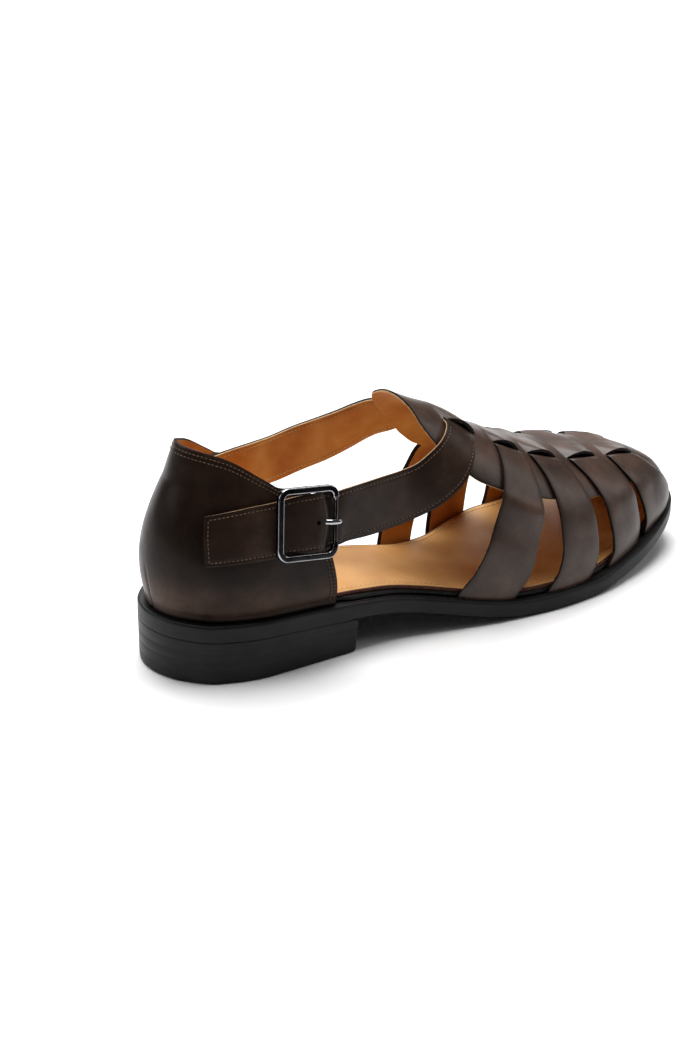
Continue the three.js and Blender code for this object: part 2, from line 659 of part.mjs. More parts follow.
function roundedRectangle(path, left, right, bottom, top, radius) {
  path.moveTo(left + radius, bottom);
  path.lineTo(right - radius, bottom);
  path.absarc(right - radius, bottom + radius, radius, -Math.PI / 2, 0);
  path.lineTo(right, top - radius);
  path.absarc(right - radius, top - radius, radius, 0, Math.PI / 2);
  path.lineTo(left + radius, top);
  path.absarc(left + radius, top - radius, radius, Math.PI / 2, Math.PI);
  path.lineTo(left, bottom + radius);
  path.absarc(left + radius, bottom + radius, radius, Math.PI, 1.5 * Math.PI);
  return path;
}

function buckleFrame() {
  const [halfX, halfY] = [BUCKLE_WIDTH / 2 - BUCKLE_EDGE, BUCKLE_HEIGHT / 2 - BUCKLE_EDGE];
  const ring = roundedRectangle(new THREE.Shape(), -halfX, halfX, -halfY, halfY, BUCKLE_CORNER - BUCKLE_EDGE);
  const rail = BUCKLE_RAIL - 2 * BUCKLE_EDGE;
  const rod = BUCKLE_ROD - 2 * BUCKLE_EDGE;
  const inner = BUCKLE_CORNER - BUCKLE_RAIL + BUCKLE_EDGE;
  const opening = new THREE.Path();
  ring.holes.push(roundedRectangle(opening, rail - halfX, halfX - rod, rail - halfY, halfY - rail, inner));
  const frame = new THREE.ExtrudeGeometry(ring, {
    depth: BUCKLE_THICK - 2 * BUCKLE_EDGE,
    bevelSize: BUCKLE_EDGE,
    bevelThickness: BUCKLE_EDGE,
    bevelSegments: 1,
    curveSegments: 4,
  }).translate(0, 0, BUCKLE_LIFT + BUCKLE_EDGE);
  const span = BUCKLE_HEIGHT - BUCKLE_RAIL;
  const bar = new THREE.CylinderGeometry(CENTRE_BAR_RADIUS, CENTRE_BAR_RADIUS, span, CENTRE_BAR_SIDES);
  bar.translate(0, 0, CENTRE_BAR_LIFT);
  return fromSolid(toSolid(frame).add(toSolid(bar)));
}

function prong(radius) {
  const path = new THREE.CatmullRomCurve3(PRONG_PATH.map(([x, z]) => new THREE.Vector3(x, 0, z)));
  const section = new THREE.Shape().absarc(0, 0, radius, 0, 2 * Math.PI);
  return new THREE.ExtrudeGeometry(section, { steps: 10, curveSegments: 4, extrudePath: path });
}

// One hollow wall: counter, underlay and every strap joined where they cross, with the prong's hole cut
function upper() {
  const pieces = [
    counterWall(),
    underlay(),
    toeTab(),
    ...CROSS_STRAPS.map(crossStrap),
    ankleStrap(ANKLE_LATERAL, -1),
    ankleStrap(ANKLE_MEDIAL, 1),
  ];
  const joined = pieces.map(toSolid).reduce((all, piece) => all.add(piece));
  const { position, quaternion } = buckleSeat();
  const hole = prong(PRONG_RADIUS + HOLE_CLEARANCE).applyQuaternion(quaternion);
  hole.translate(position.x, position.y, position.z);
  return fromSolid(joined.subtract(toSolid(hole)));
}

function finish(color, roughness, metalness = 0) {
  return new THREE.MeshStandardMaterial({ color, roughness, metalness });
}

const BROWN_LEATHER = finish(0x3a2a23, 0.42);
const TAN_LEATHER = finish(0xc08a4a, 0.6);
const BLACK_SOLE = finish(0x1c1c1c, 0.5);
const GUNMETAL = finish(0x5a5a5c, 0.25, 1);

function piece(name, geometry, material) {
  const mesh = new THREE.Mesh(geometry, material);
  mesh.name = name;
  return mesh;
}

const sandal = new THREE.Group();
sandal.position.x = -LENGTH / 2;
sandal.add(
  piece("outsole", outsole(), BLACK_SOLE),
  piece("heel", heel(), BLACK_SOLE),
  piece("midsole", midsole(), BLACK_SOLE),
  piece("insole", insole(), TAN_LEATHER),
  piece("upper", upper(), BROWN_LEATHER),
);

const buckle = new THREE.Group();
const seat = buckleSeat();
buckle.position.copy(seat.position);
buckle.quaternion.copy(seat.quaternion);
buckle.add(
  piece("buckle_frame", buckleFrame(), GUNMETAL),
  piece("buckle_prong", prong(PRONG_RADIUS), GUNMETAL),
);
sandal.add(buckle);

export default sandal;
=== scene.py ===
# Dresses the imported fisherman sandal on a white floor: straps, linings, stitches, sole edges and buckle
import math

import bmesh
import bpy
import numpy as np
from mathutils import Matrix, Vector


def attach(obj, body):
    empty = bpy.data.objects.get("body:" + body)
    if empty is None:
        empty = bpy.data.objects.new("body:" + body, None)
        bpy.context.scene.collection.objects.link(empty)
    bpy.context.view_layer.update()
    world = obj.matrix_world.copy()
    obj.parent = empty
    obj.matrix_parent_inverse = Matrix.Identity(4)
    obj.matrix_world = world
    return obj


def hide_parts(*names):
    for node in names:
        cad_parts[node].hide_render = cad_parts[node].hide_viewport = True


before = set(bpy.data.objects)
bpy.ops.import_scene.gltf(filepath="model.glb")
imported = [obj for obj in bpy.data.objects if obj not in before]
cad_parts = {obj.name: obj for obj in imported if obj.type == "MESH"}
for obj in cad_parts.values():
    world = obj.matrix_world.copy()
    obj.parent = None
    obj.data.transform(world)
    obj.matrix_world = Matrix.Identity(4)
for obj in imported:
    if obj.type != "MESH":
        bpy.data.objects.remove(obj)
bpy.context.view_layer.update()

# Sizes of the shoe in mm: x from the back of the heel to the toe tip, y to the inner side of the foot, z up
LENGTH = 300.0
MM = 0.001
OUTSOLE_EDGE = 8.2
MIDSOLE_THICK = 2.3
INSOLE_THICK = 1.6
FIT_GAP = 0.3
STRAP_THICK = 1.8
UNDERLAY_THICK = 1.5
COUNTER_THICK = 1.9
HEEL_BREAST = (90.2, 92.0)
COUNTER_HEIGHT = 82.0
COUNTER_DROP = 2.7
STRAP_INSET = 4.6
COUNTER_INSET = 3.2
INSOLE_INSET = 5.4
ROUND_END = 30.0
LINING_THICK = 0.7
LAYER_GAP = 0.02
EASED_EDGE = 0.22
# Above the rim of the outsole: the top of the midsole with its gaps, the last's foot, the lowest leather
MIDSOLE_TOP = FIT_GAP + MIDSOLE_THICK + FIT_GAP
LAST_SEAT = 0.2
LOWEST_LEATHER = 0.1
LATERAL, MEDIAL = -1.0, 1.0


def monotone(xs, ys):
    """A smooth curve through the rows, with no overshoot between them."""
    xs, ys = np.array(xs, float), np.array(ys, float)
    step = np.diff(xs)
    chord = np.diff(ys) / step
    before, after = chord[:-1], chord[1:]
    total = np.where(before + after == 0, 1, before + after)
    inner = np.where(before * after > 0, 2 * before * after / total, 0)
    slope = np.concatenate([chord[:1], inner, chord[-1:]])

    def value(x):
        x = np.clip(np.asarray(x, float), xs[0], xs[-1])
        k = np.clip(np.searchsorted(xs, x, side="right") - 1, 0, len(step) - 1)
        t = (x - xs[k]) / step[k]
        s = 1 - t
        start = ys[k] * s * s * (1 + 2 * t) + slope[k] * step[k] * t * s * s
        return start + ys[k + 1] * t * t * (3 - 2 * t) - slope[k + 1] * step[k] * t * t * s

    return value


def table(names, rows):
    """One smooth function for each named column after the first."""
    stations = [row[0] for row in rows]
    return {name: monotone(stations, [row[k] for row in rows]) for k, name in enumerate(names) if k}


# Half widths of the sole's rim, kept as squares so that heel and toe come out round
OUTLINE = table(("x", "lateral", "medial"), [(x, a * a, b * b) for x, a, b in (
    (0, 0, 0), (6, 20, 18.3), (20, 33, 29.8), (45, 38.8, 33), (75, 38.2, 30.4),
    (110, 37.5, 25.5), (140, 43.5, 24.5), (170, 50, 33), (200, 52.4, 47), (222, 50.5, 52.4),
    (250, 42.5, 49.5), (270, 33.5, 41), (285, 24, 29.5), (294, 15.5, 16.5), (300, 0, 0))])

# Height of the outsole's underside: heel seat, arch, flat tread under the ball, toe spring
UNDERSIDE = table(("x", "z"), (
    (0, 22), (45, 20.4), (80, 17.8), (105, 15), (130, 10.4), (155, 4.6),
    (178, 0.7), (190, 0), (220, 0), (240, 2.2), (260, 5.4), (280, 10), (300, 15.8)))

# Sections of the last: ridge line, fullness and side bulge on each side
LAST = table(("x", "ridge_y", "ridge_z", "full_lateral", "full_medial", "bulge_lateral", "bulge_medial"), (
    (80, -5, 140, 4.0, 4.0, 1.0, 3.0),
    (105, -5, 127, 3.2, 3.2, 1.0, 7.0),
    (128, -4, 111.5, 2.5, 2.5, 1.0, 8.0),
    (140, -4, 105, 2.4, 2.4, 1.2, 7.0),
    (155, -4, 97.2, 2.3, 2.3, 1.5, 5.0),
    (175, -3, 84, 2.25, 2.25, 2.0, 3.0),
    (200, -1, 70.3, 2.3, 2.4, 2.0, 2.0),
    (225, 1.5, 60.5, 2.35, 2.45, 2.0, 2.0),
    (250, 3, 54.5, 2.4, 2.5, 2.0, 2.0),
    (270, 3.5, 49, 2.45, 2.5, 1.8, 1.8),
    (284, 2.5, 42.5, 2.5, 2.5, 1.5, 1.5),
    (290, 1.8, 38, 2.5, 2.5, 1.0, 1.0),
    (293.5, 1.2, 33.2, 2.5, 2.5, 0.6, 0.6),
    (295, 0.6, 28.4, 2.5, 2.5, 0.3, 0.3),
    (295.4, 0.5, 24.2, 2.5, 2.5, 0, 0)))

# Cross straps from instep to toe: rear and front edge along the foot, at shares from ridge (0) to sole (1)
EDGE_COLUMNS = ("share", "rear", "front")
CROSS_STRAPS = {
    "instep_strap": (
        ((0, 178.5, 195), (0.2, 178.7, 194.7), (0.4, 175.6, 194.3), (0.6, 169.3, 192.7),
         (0.8, 161.3, 187.2), (0.92, 154.2, 182.3), (1, 145.5, 175)),
        ((0, 178.5, 195), (0.2, 177.7, 194), (0.4, 173.5, 190.5), (0.6, 165, 184),
         (0.8, 154, 174), (0.92, 146, 167.5), (1, 141, 163))),
    "ball_strap": (
        ((0, 199, 217), (0.2, 199.7, 218.4), (0.4, 201.6, 221.8), (0.6, 202.1, 224.2),
         (0.8, 202.1, 224.9), (0.92, 199.5, 224), (1, 193, 220)),
        ((0, 199, 217), (0.2, 198.7, 217.6), (0.4, 196, 217), (0.6, 191.5, 215.5),
         (0.8, 185, 213), (0.92, 181, 211), (1, 178, 209))),
    "vamp_strap": (
        ((0, 225, 244), (0.2, 225.9, 245.5), (0.4, 229.8, 252.3), (0.6, 233.4, 256.5),
         (0.8, 236.1, 258.3), (0.92, 236.8, 259), (1, 232.6, 257.5)),
        ((0, 225, 244), (0.2, 225.5, 245), (0.4, 227, 249.5), (0.6, 227.5, 251),
         (0.8, 226.5, 251.7), (0.92, 225, 251.5), (1, 222, 250))),
    "toe_strap": (
        ((0, 251.5, 270.5), (0.2, 252.6, 272.5), (0.4, 255.2, 280), (0.6, 260.2, 287),
         (0.8, 264.2, 291.5), (0.92, 265.4, 293), (1, 264, 292.5)),
        ((0, 251.5, 270.5), (0.2, 252.3, 272), (0.4, 254.7, 279), (0.6, 258.5, 285.5),
         (0.8, 262, 289.5), (0.92, 263, 291), (1, 262, 291))),
}

# Ankle strap rows from the weave back to the heel: surface, lower edge, upper edge, how far each edge
# stands off, and in the buckle how far the middle is pulled forward
ANKLE_OUTER = (
    ("last", (166.7, -0.10), (152.5, -0.08), (-0.9, -0.9)),
    ("last", (166.9, -0.19), (151.2, -0.16), (-0.3, 0.4)),
    ("last", (162.5, -0.312), (149.2, -0.25), (1.4, 3.0)),
    ("last", (158.5, -0.43), (145.6, -0.33), (1.7, 3.5)),
    ("last", (153, -0.535), (141, -0.40), (1.6, 3.0)),
    ("last", (144.2, -0.638), (134.5, -0.478), (1.2, 1.8)),
    ("last", (135.4, -0.711), (127.5, -0.551), (0.7, 1.0)),
    ("last", (123.5, -0.79), (118.5, -0.628), (0.2, 0.4)),
    ("last", (111, -0.868), (108, -0.706), (0.05, 0.1)),
    ("last", (99, -0.913), (98.3, -0.76), (0, 0)),
    ("last", (86, -0.942), (86, -0.815), (0, 0)),
    ("counter", (79.5, 0.35), (79.5, 0.653), (-0.1, -0.1)),
    ("counter", (75.6, 0.345), (75.6, 0.662), (0, 0), 1.0),
    ("counter", (70.8, 0.345), (73, 0.668), (0.1, 0.1), 2.8),
    ("counter", (69.2, 0.345), (71.6, 0.671), (1.9, 1.9), 3.0),
    ("counter", (67.8, 0.345), (70.2, 0.672), (3.4, 3.4), 3.0),
    ("counter", (65.6, 0.345), (67.8, 0.672), (4.2, 4.2), 1.8),
    ("counter", (63, 0.3445), (63, 0.668), (4.1, 4.1)),
    ("counter", (58, 0.343), (58, 0.665), (3.2, 3.2)),
    ("counter", (53.2, 0.342), (53.2, 0.656), (1.4, 1.4)),
    ("counter", (48.5, 0.34), (48.5, 0.646), (0.1, 0.1)),
    ("counter", (45, 0.339), (44.6, 0.642), (0.1, 0.1)),
    ("counter", (36, 0.336), (35, 0.634), (0.1, 0.1)),
    ("counter", (24, 0.328), (22, 0.612), (0.1, 0.1)),
    ("counter", (14.8, 0.317), (12.2, 0.584), (0.1, 0.1)),
)
ANKLE_INNER = (
    ("last", (166.7, 0.10), (152.5, 0.08), (-0.9, -0.9)),
    ("last", (166.9, 0.19), (151.2, 0.16), (-0.3, 0.4)),
    ("last", (163, 0.3), (147, 0.25), (1.5, 2.4)),
    ("last", (156, 0.42), (138, 0.3), (1.7, 2.2)),
    ("last", (148, 0.5), (130.5, 0.34), (1.5, 1.6)),
    ("last", (138.9, 0.562), (124, 0.424), (0.9, 0.9)),
    ("last", (127.3, 0.672), (117, 0.53), (0.4, 0.4)),
    ("last", (117.3, 0.761), (108, 0.634), (0.1, 0.1)),
    ("last", (101.3, 0.861), (97, 0.72), (-0.1, -0.1)),
    ("last", (87, 0.915), (85, 0.792), (-0.6, -0.6)),
    ("counter", (74, 0.445), (68, 0.735), (-3.9, -3.9)),
    ("counter", (62, 0.44), (53, 0.702), (-3.9, -3.9)),
    ("counter", (54, 0.435), (40, 0.68), (-3.9, -3.9)),
)

# Underlay below the straps: where its outer and inner edge lie, along the foot and as a share from ridge
# to sole; the tip of the tongue is cut at a slant
UNDERLAY_EDGE = table(("station", "lateral_x", "lateral_share", "medial_x", "medial_share"), (
    (128, 134.7, 0.245, 128.5, 0.22), (128.8, 135.3, 0.285, 129, 0.268), (131.5, 136.9, 0.33, 131.5, 0.315),
    (135, 138.9, 0.37, 135, 0.36), (139.5, 141.9, 0.416, 139.5, 0.405), (146, 147, 0.462, 146, 0.455),
    (152, 152, 0.497, 152, 0.497), (162, 162, 0.53, 162, 0.53),
    (250, 250, 0.53, 250, 0.53), (258, 258, 0.505, 258, 0.505), (272, 272, 0.46, 272, 0.46),
    (288, 288, 0.42, 288, 0.42)))
UNDERLAY_ENDS = (128.0, 288.0)
FULL_TONGUE = 0.43

# Weave: slits along the foot where the straps pass under the middle band, which arches over each strap
# (more on the outer side than on the inner) and rises to that from the tongue
SLITS = ((149.8, 168.2), (178.7, 194.7), (199.7, 218.4), (225.9, 245.5), (252.6, 272.5))
SLIT_SHARE = 0.2
WEAVE_STARTS = (140.0, 152.0)
BAND_STARTS = 147.0
BAND_LIFT = (3.9, 2.0)
BAND_MIDDLE = 0.15
BAND_ROUND = 0.75
BRIDGE_LIFT = 0.25
WING_FLAT = 0.3

# Cross straps: under the band, over the wings, then down on the foot, given as shares from ridge to sole
STRAP_DIP = -1.2
STRAP_RISES = (0.165, 0.25)
STRAP_FALLS = (0.51, 0.78)
STRAP_OVER_WING = UNDERLAY_THICK + 0.25
STRAP_CROWN = 0.6
STRAP_TUCK = 2.6
TUCK_FADES = 0.12
LINING_TRIM = 0.6

# Toe tab: a fan of lines round the toe tip, from the middle of the toe box down to the sole; the toe strap
# lies over its rear edge
TOE_CENTRE = (272.0, 3.2)
TOE_TIP = 295.4
TOE_FAN = math.radians(62)
TOE_RANGE = (0.36, 0.985)
TOE_TAB_LIFT = 1.6
TAB_ALONG = (262.0, 284.0)
TAB_ACROSS = (SLIT_SHARE, 0.32)
TAB_BLEND = 0.35

# Low waves of slack leather: height, then the length along and the turns across of each crossing wave
COUNTER_SLACK = (0.1, (9, 4), (17, 7))
UNDERLAY_SLACK = (0.08, (6, 9))
STRAP_SLACK = (0.07, (14, 17), (7, 5))
ANKLE_SLACK = (0.05, (1 / 40, 3), (1 / 23, -4))

# Top line of the heel counter, a little lower on the inner side, and how its front edge runs up to it
TOP_LINE = table(("u", "height"), (
    (0, 0.925), (12, 0.897), (20, 0.873), (31, 0.82), (43, 0.75), (50, 0.711), (58, 0.7), (66, 0.7)))
INNER_DROP, INNER_REACH = 0.03, 10.0
COUNTER_FOOT = 80.0
COUNTER_TOP = 66.0
FRONT_PULL = 1.6

# The counter leans in at the back, swells low down and pinches towards its top line
LEAN_SIZE, LEAN_POWER, LEAN_FADE = 17.0, 1.7, 42.0
HOLLOW_SIZE, HOLLOW_RISE = 4.0, 1.4
PINCH_SIZE, PINCH_POWER, PINCH_FADE, PINCH_EVEN = 0.33, 2.2, 75.0, 0.14
BELLY_SIZE, BELLY_HEIGHT = 0.09, 0.2


def ramp(value, start, end):
    t = np.clip((value - start) / (end - start), 0, 1)
    return t * t * (3 - 2 * t)


def bump_at(value, middle, reach):
    return np.exp(-(((value - middle) / reach) ** 2))


def slack(waves, along, across):
    height, *crossing = waves
    return height * np.prod([np.sin(along / long + across * turns) for long, turns in crossing], axis=0)


def half_width(side, x):
    square = np.where(side < 0, OUTLINE["lateral"](x), OUTLINE["medial"](x))
    return np.sqrt(np.maximum(square, 0))


def inset_point(side, u, inset):
    half = half_width(side, u)
    x = inset + u * (LENGTH - 2 * inset) / LENGTH
    return x, side * half * (1 - inset / np.maximum(half, ROUND_END))


def rim_height(x):
    return UNDERSIDE["z"](x) + OUTSOLE_EDGE


def strap_line(side, x):
    u = np.clip((x - STRAP_INSET) * LENGTH / (LENGTH - 2 * STRAP_INSET), 0, LENGTH)
    half = half_width(side, u)
    return side * half * (1 - STRAP_INSET / np.maximum(half, ROUND_END))


def last_point(x, share):
    """The last's surface: share -1 at the outer side of the sole, 0 on the ridge, 1 at the inner side."""
    side = np.where(share < 0, LATERAL, MEDIAL)
    full = np.where(side < 0, LAST["full_lateral"](x), LAST["full_medial"](x))
    bulge = np.where(side < 0, LAST["bulge_lateral"](x), LAST["bulge_medial"](x))
    turn = (1 - np.abs(share)) * math.pi / 2
    across = np.maximum(np.cos(turn), 0) ** (2 / full)
    rise = np.maximum(np.sin(turn), 0) ** (2 / full)
    low = rim_height(x) + LAST_SEAT
    ridge_y = LAST["ridge_y"](x)
    swell = side * bulge * np.sin(math.pi * rise) * across
    y = ridge_y + (strap_line(side, x) - ridge_y) * across + swell
    return np.stack([x, y, low + (LAST["ridge_z"](x) - low) * rise], -1)


def counter_point(side, u, height):
    """The outside of the heel counter: u along the rim from the back, height as a share."""
    x, y = inset_point(side, u, COUNTER_INSET)
    low = rim_height(u) + MIDSOLE_TOP
    above = np.maximum(height, 0)
    hollow = HOLLOW_SIZE * np.sin(math.pi * np.minimum(above * HOLLOW_RISE, 1))
    lean = (LEAN_SIZE * above ** LEAN_POWER - hollow) * bump_at(u, 0, LEAN_FADE)
    swell = above / BELLY_HEIGHT
    belly = BELLY_SIZE * swell * np.exp(1 - swell)
    pinch = PINCH_SIZE * above ** PINCH_POWER * bump_at(u, 0, PINCH_FADE) + PINCH_EVEN * above ** 2 - belly
    return np.stack([x + lean, y * (1 - pinch), low + height * COUNTER_HEIGHT], -1)


def top_line(side, u):
    drop = np.where(side < 0, 0, INNER_DROP * (1 - bump_at(u, 0, INNER_REACH)))
    return TOP_LINE["height"](u) - drop


# Normals are measured over small steps, a little inside the last's sides and the counter's back and foot
LAST_STEPS, LAST_SIDE = (0.05, 0.002), 0.995
COUNTER_STEPS, COUNTER_START = (0.05, 0.01), (0.06, 0.011)
TOE_STEPS = (0.01, 0.01)


def lifted(surface, a, b, steps, lift):
    """Points of a surface moved out along its normal."""
    step_a, step_b = steps
    along_a = surface(a + step_a, b) - surface(a - step_a, b)
    along_b = surface(a, b + step_b) - surface(a, b - step_b)
    normal = np.cross(along_a, along_b)
    normal /= np.maximum(np.linalg.norm(normal, axis=-1, keepdims=True), 1e-12)
    return surface(a, b) + normal * np.asarray(lift)[..., None]


def on_last(x, share, lift):
    x, share = np.broadcast_arrays(np.asarray(x, float), np.asarray(share, float))
    inside = np.clip(share, -LAST_SIDE, LAST_SIDE)
    raised = lifted(last_point, x, inside, LAST_STEPS, lift)
    raised = raised + last_point(x, share) - last_point(x, inside)
    raised[..., 2] = np.maximum(raised[..., 2], rim_height(raised[..., 0]) + LOWEST_LEATHER)
    return raised


def on_counter(side, u, height, lift):
    side, u, height = np.broadcast_arrays(*(np.asarray(n, float) for n in (side, u, height)))
    back, up = np.maximum(u, COUNTER_START[0]), np.maximum(height, COUNTER_START[1])
    raised = lifted(lambda a, b: counter_point(side, a, b), back, up, COUNTER_STEPS, -side * lift)
    return raised + counter_point(side, u, height) - counter_point(side, back, up)


def in_frame(points):
    """Shoe millimetres to the part's metres."""
    return (np.asarray(points, float) - np.array([LENGTH / 2, 0, 0])) * MM


# Materials
def linear(hex_code):
    """An sRGB hex colour as linear light."""
    parts = [int(hex_code[k:k + 2], 16) / 255 for k in (1, 3, 5)]
    return (*[c / 12.92 if c <= 0.04045 else ((c + 0.055) / 1.055) ** 2.4 for c in parts], 1)


def new_material(name):
    material = bpy.data.materials.new(name)
    material.use_nodes = True
    material.node_tree.nodes.clear()
    place = add_node(material, "ShaderNodeTexCoord", gives="Object")
    return material, place


def add_node(material, kind, inputs=None, stops=(), gives=0, settings=None):
    """Adds a node and hands back one of its outputs; an input is a value or the output that feeds it."""
    tree = material.node_tree
    node = tree.nodes.new(kind)
    for name, value in (settings or {}).items():
        setattr(node, name, value)
    for name, value in (inputs or {}).items():
        if isinstance(value, bpy.types.NodeSocket):
            tree.links.new(value, node.inputs[name])
        else:
            node.inputs[name].default_value = value
    for k, (where, code) in enumerate(stops):
        element = node.color_ramp.elements[k] if k < 2 else node.color_ramp.elements.new(where)
        element.position = where
        element.color = linear(code)
    return node.outputs[gives] if node.outputs else None


def spots(millimetres):
    """The noise scale whose spots are that wide."""
    return 1 / (millimetres * MM)


def calf_with_burnish_and_painted_light(name, shine, satin, wax_and_painted_light):
    """Waxed brown calf: cloudy patches under a soft polish, then a tone ramp across each piece: burnishing
    darker towards the edges of straps and tongue, painted reflection and shade up the counter.
    """
    material, place = new_material(name)
    clouds = add_node(material, "ShaderNodeTexNoise", {
        "Vector": place, "Scale": spots(24), "Detail": 4, "Roughness": 0.6})
    patina = add_node(material, "ShaderNodeValToRGB", {"Fac": clouds}, stops=(
        (0.3, "#2a1c15"), (0.5, "#3d2c23"), (0.72, "#543e32")))
    # The second texture direction runs across every strap and up the counter
    unrolled = add_node(material, "ShaderNodeTexCoord", gives="UV")
    across = add_node(material, "ShaderNodeSeparateXYZ", {"Vector": unrolled}, gives="Y")
    waxed = add_node(material, "ShaderNodeValToRGB", {"Fac": across}, stops=wax_and_painted_light)
    burnish_and_painted_light = add_node(material, "ShaderNodeVectorMath", {0: patina, 1: waxed}, settings={
        "operation": "MULTIPLY"})
    rubbed = add_node(material, "ShaderNodeTexNoise", {
        "Vector": place, "Scale": spots(8), "Detail": 4, "Roughness": 0.6})
    gloss = add_node(material, "ShaderNodeMapRange", {
        "Value": rubbed, "From Min": 0.3, "From Max": 0.7, "To Min": satin, "To Max": satin + 0.12})
    # Calf grain is about 0.2 mm; drawn at 0.7 mm so that it shows
    grain = add_node(material, "ShaderNodeTexNoise", {"Vector": place, "Scale": spots(0.7), "Detail": 2})
    pull = add_node(material, "ShaderNodeTexNoise", {"Vector": place, "Scale": spots(7), "Detail": 3})
    pulled = add_node(material, "ShaderNodeBump", {"Height": pull, "Strength": 0.25, "Distance": 0.35 * MM})
    grained = add_node(material, "ShaderNodeBump", {
        "Height": grain, "Strength": 0.1, "Distance": 0.1 * MM, "Normal": pulled})
    leather = add_node(material, "ShaderNodeBsdfPrincipled", {
        "Base Color": burnish_and_painted_light, "Roughness": gloss, "Normal": grained, "Specular IOR Level": shine,
        "Coat Weight": 0.25 * shine, "Coat Roughness": 0.16})
    add_node(material, "ShaderNodeOutputMaterial", {"Surface": leather})
    return material


def tan_lining():
    """Vegetable-tanned lining leather: warm orange tan, matt, faintly clouded."""
    material, place = new_material("tan lining leather")
    clouds = add_node(material, "ShaderNodeTexNoise", {
        "Vector": place, "Scale": spots(18), "Detail": 4, "Roughness": 0.6})
    tan = add_node(material, "ShaderNodeValToRGB", {"Fac": clouds}, stops=(
        (0.3, "#bd7733"), (0.5, "#cc8a40"), (0.72, "#d89d53")))
    # Pores are about 0.3 mm; drawn at 0.8 mm so that they show
    pores = add_node(material, "ShaderNodeTexNoise", {"Vector": place, "Scale": spots(0.8), "Detail": 2})
    pitted = add_node(material, "ShaderNodeBump", {"Height": pores, "Strength": 0.15, "Distance": 0.12 * MM})
    leather = add_node(material, "ShaderNodeBsdfPrincipled", {
        "Base Color": tan, "Roughness": 0.56, "Normal": pitted, "Specular IOR Level": 0.2})
    add_node(material, "ShaderNodeOutputMaterial", {"Surface": leather})
    return material


def sock_leather():
    """Smooth tan sock leather: lighter and yellower than the lining, with a faint polish."""
    material, place = new_material("tan sock leather")
    clouds = add_node(material, "ShaderNodeTexNoise", {
        "Vector": place, "Scale": spots(30), "Detail": 4, "Roughness": 0.55})
    tan = add_node(material, "ShaderNodeValToRGB", {"Fac": clouds}, stops=(
        (0.3, "#ab7b45"), (0.5, "#b98a52"), (0.72, "#c49862")))
    rubbed = add_node(material, "ShaderNodeTexNoise", {"Vector": place, "Scale": spots(7), "Detail": 3})
    gloss = add_node(material, "ShaderNodeMapRange", {
        "Value": rubbed, "From Min": 0.3, "From Max": 0.7, "To Min": 0.42, "To Max": 0.54})
    # Pores are about 0.3 mm; drawn at 0.9 mm so that they show
    pores = add_node(material, "ShaderNodeTexNoise", {"Vector": place, "Scale": spots(0.9), "Detail": 2})
    pitted = add_node(material, "ShaderNodeBump", {"Height": pores, "Strength": 0.12, "Distance": 0.12 * MM})
    leather = add_node(material, "ShaderNodeBsdfPrincipled", {
        "Base Color": tan, "Roughness": gloss, "Normal": pitted, "Specular IOR Level": 0.16})
    add_node(material, "ShaderNodeOutputMaterial", {"Surface": leather})
    return material


def cut_edge(name, shine, dark, light):
    """The cut edge of leather: packed fibres between a darker and a lighter tone, matt."""
    material, place = new_material(name)
    fibres = add_node(material, "ShaderNodeTexNoise", {"Vector": place, "Scale": spots(1.5), "Detail": 3})
    tone = add_node(material, "ShaderNodeValToRGB", {"Fac": fibres}, stops=((0.3, dark), (0.7, light)))
    # Fibres are about 0.05 mm; drawn at 0.6 mm so that they show
    fuzz = add_node(material, "ShaderNodeTexNoise", {"Vector": place, "Scale": spots(0.6), "Detail": 2})
    rough = add_node(material, "ShaderNodeBump", {"Height": fuzz, "Strength": 0.3, "Distance": 0.15 * MM})
    leather = add_node(material, "ShaderNodeBsdfPrincipled", {
        "Base Color": tone, "Roughness": 0.62, "Normal": rough, "Specular IOR Level": shine})
    add_node(material, "ShaderNodeOutputMaterial", {"Surface": leather})
    return material


def black_edge_dye(name, streak_mm, depth_mm):
    """Black edge-dyed sole leather and rubber: satin black with fine level streaks from sanding."""
    material, place = new_material(name)
    level = add_node(material, "ShaderNodeMapping", {"Vector": place, "Scale": (0.03, 0.03, 1)})
    streaks = add_node(material, "ShaderNodeTexNoise", {
        "Vector": level, "Scale": spots(streak_mm), "Detail": 3, "Roughness": 0.6})
    clouds = add_node(material, "ShaderNodeTexNoise", {"Vector": place, "Scale": spots(12), "Detail": 3})
    black = add_node(material, "ShaderNodeValToRGB", {"Fac": clouds}, stops=(
        (0.3, "#0e0e0e"), (0.7, "#191919")))
    satin = add_node(material, "ShaderNodeMapRange", {
        "Value": streaks, "From Min": 0.3, "From Max": 0.7, "To Min": 0.38, "To Max": 0.52})
    sanded = add_node(material, "ShaderNodeBump", {
        "Height": streaks, "Strength": 0.35, "Distance": depth_mm * MM})
    rubber = add_node(material, "ShaderNodeBsdfPrincipled", {
        "Base Color": black, "Roughness": satin, "Normal": sanded, "Specular IOR Level": 0.18})
    add_node(material, "ShaderNodeOutputMaterial", {"Surface": rubber})
    return material


def plating(name, dark, light):
    """Polished plating over cast zinc: smooth metal between two greys, wiped a little unevenly."""
    material, place = new_material(name)
    clouds = add_node(material, "ShaderNodeTexNoise", {"Vector": place, "Scale": spots(6), "Detail": 3})
    grey = add_node(material, "ShaderNodeValToRGB", {"Fac": clouds}, stops=((0.3, dark), (0.7, light)))
    wiped = add_node(material, "ShaderNodeTexNoise", {"Vector": place, "Scale": spots(3), "Detail": 3})
    polish = add_node(material, "ShaderNodeMapRange", {
        "Value": wiped, "From Min": 0.3, "From Max": 0.7, "To Min": 0.12, "To Max": 0.2})
    metal = add_node(material, "ShaderNodeBsdfPrincipled", {
        "Base Color": grey, "Roughness": polish, "Metallic": 1.0})
    add_node(material, "ShaderNodeOutputMaterial", {"Surface": metal})
    return material


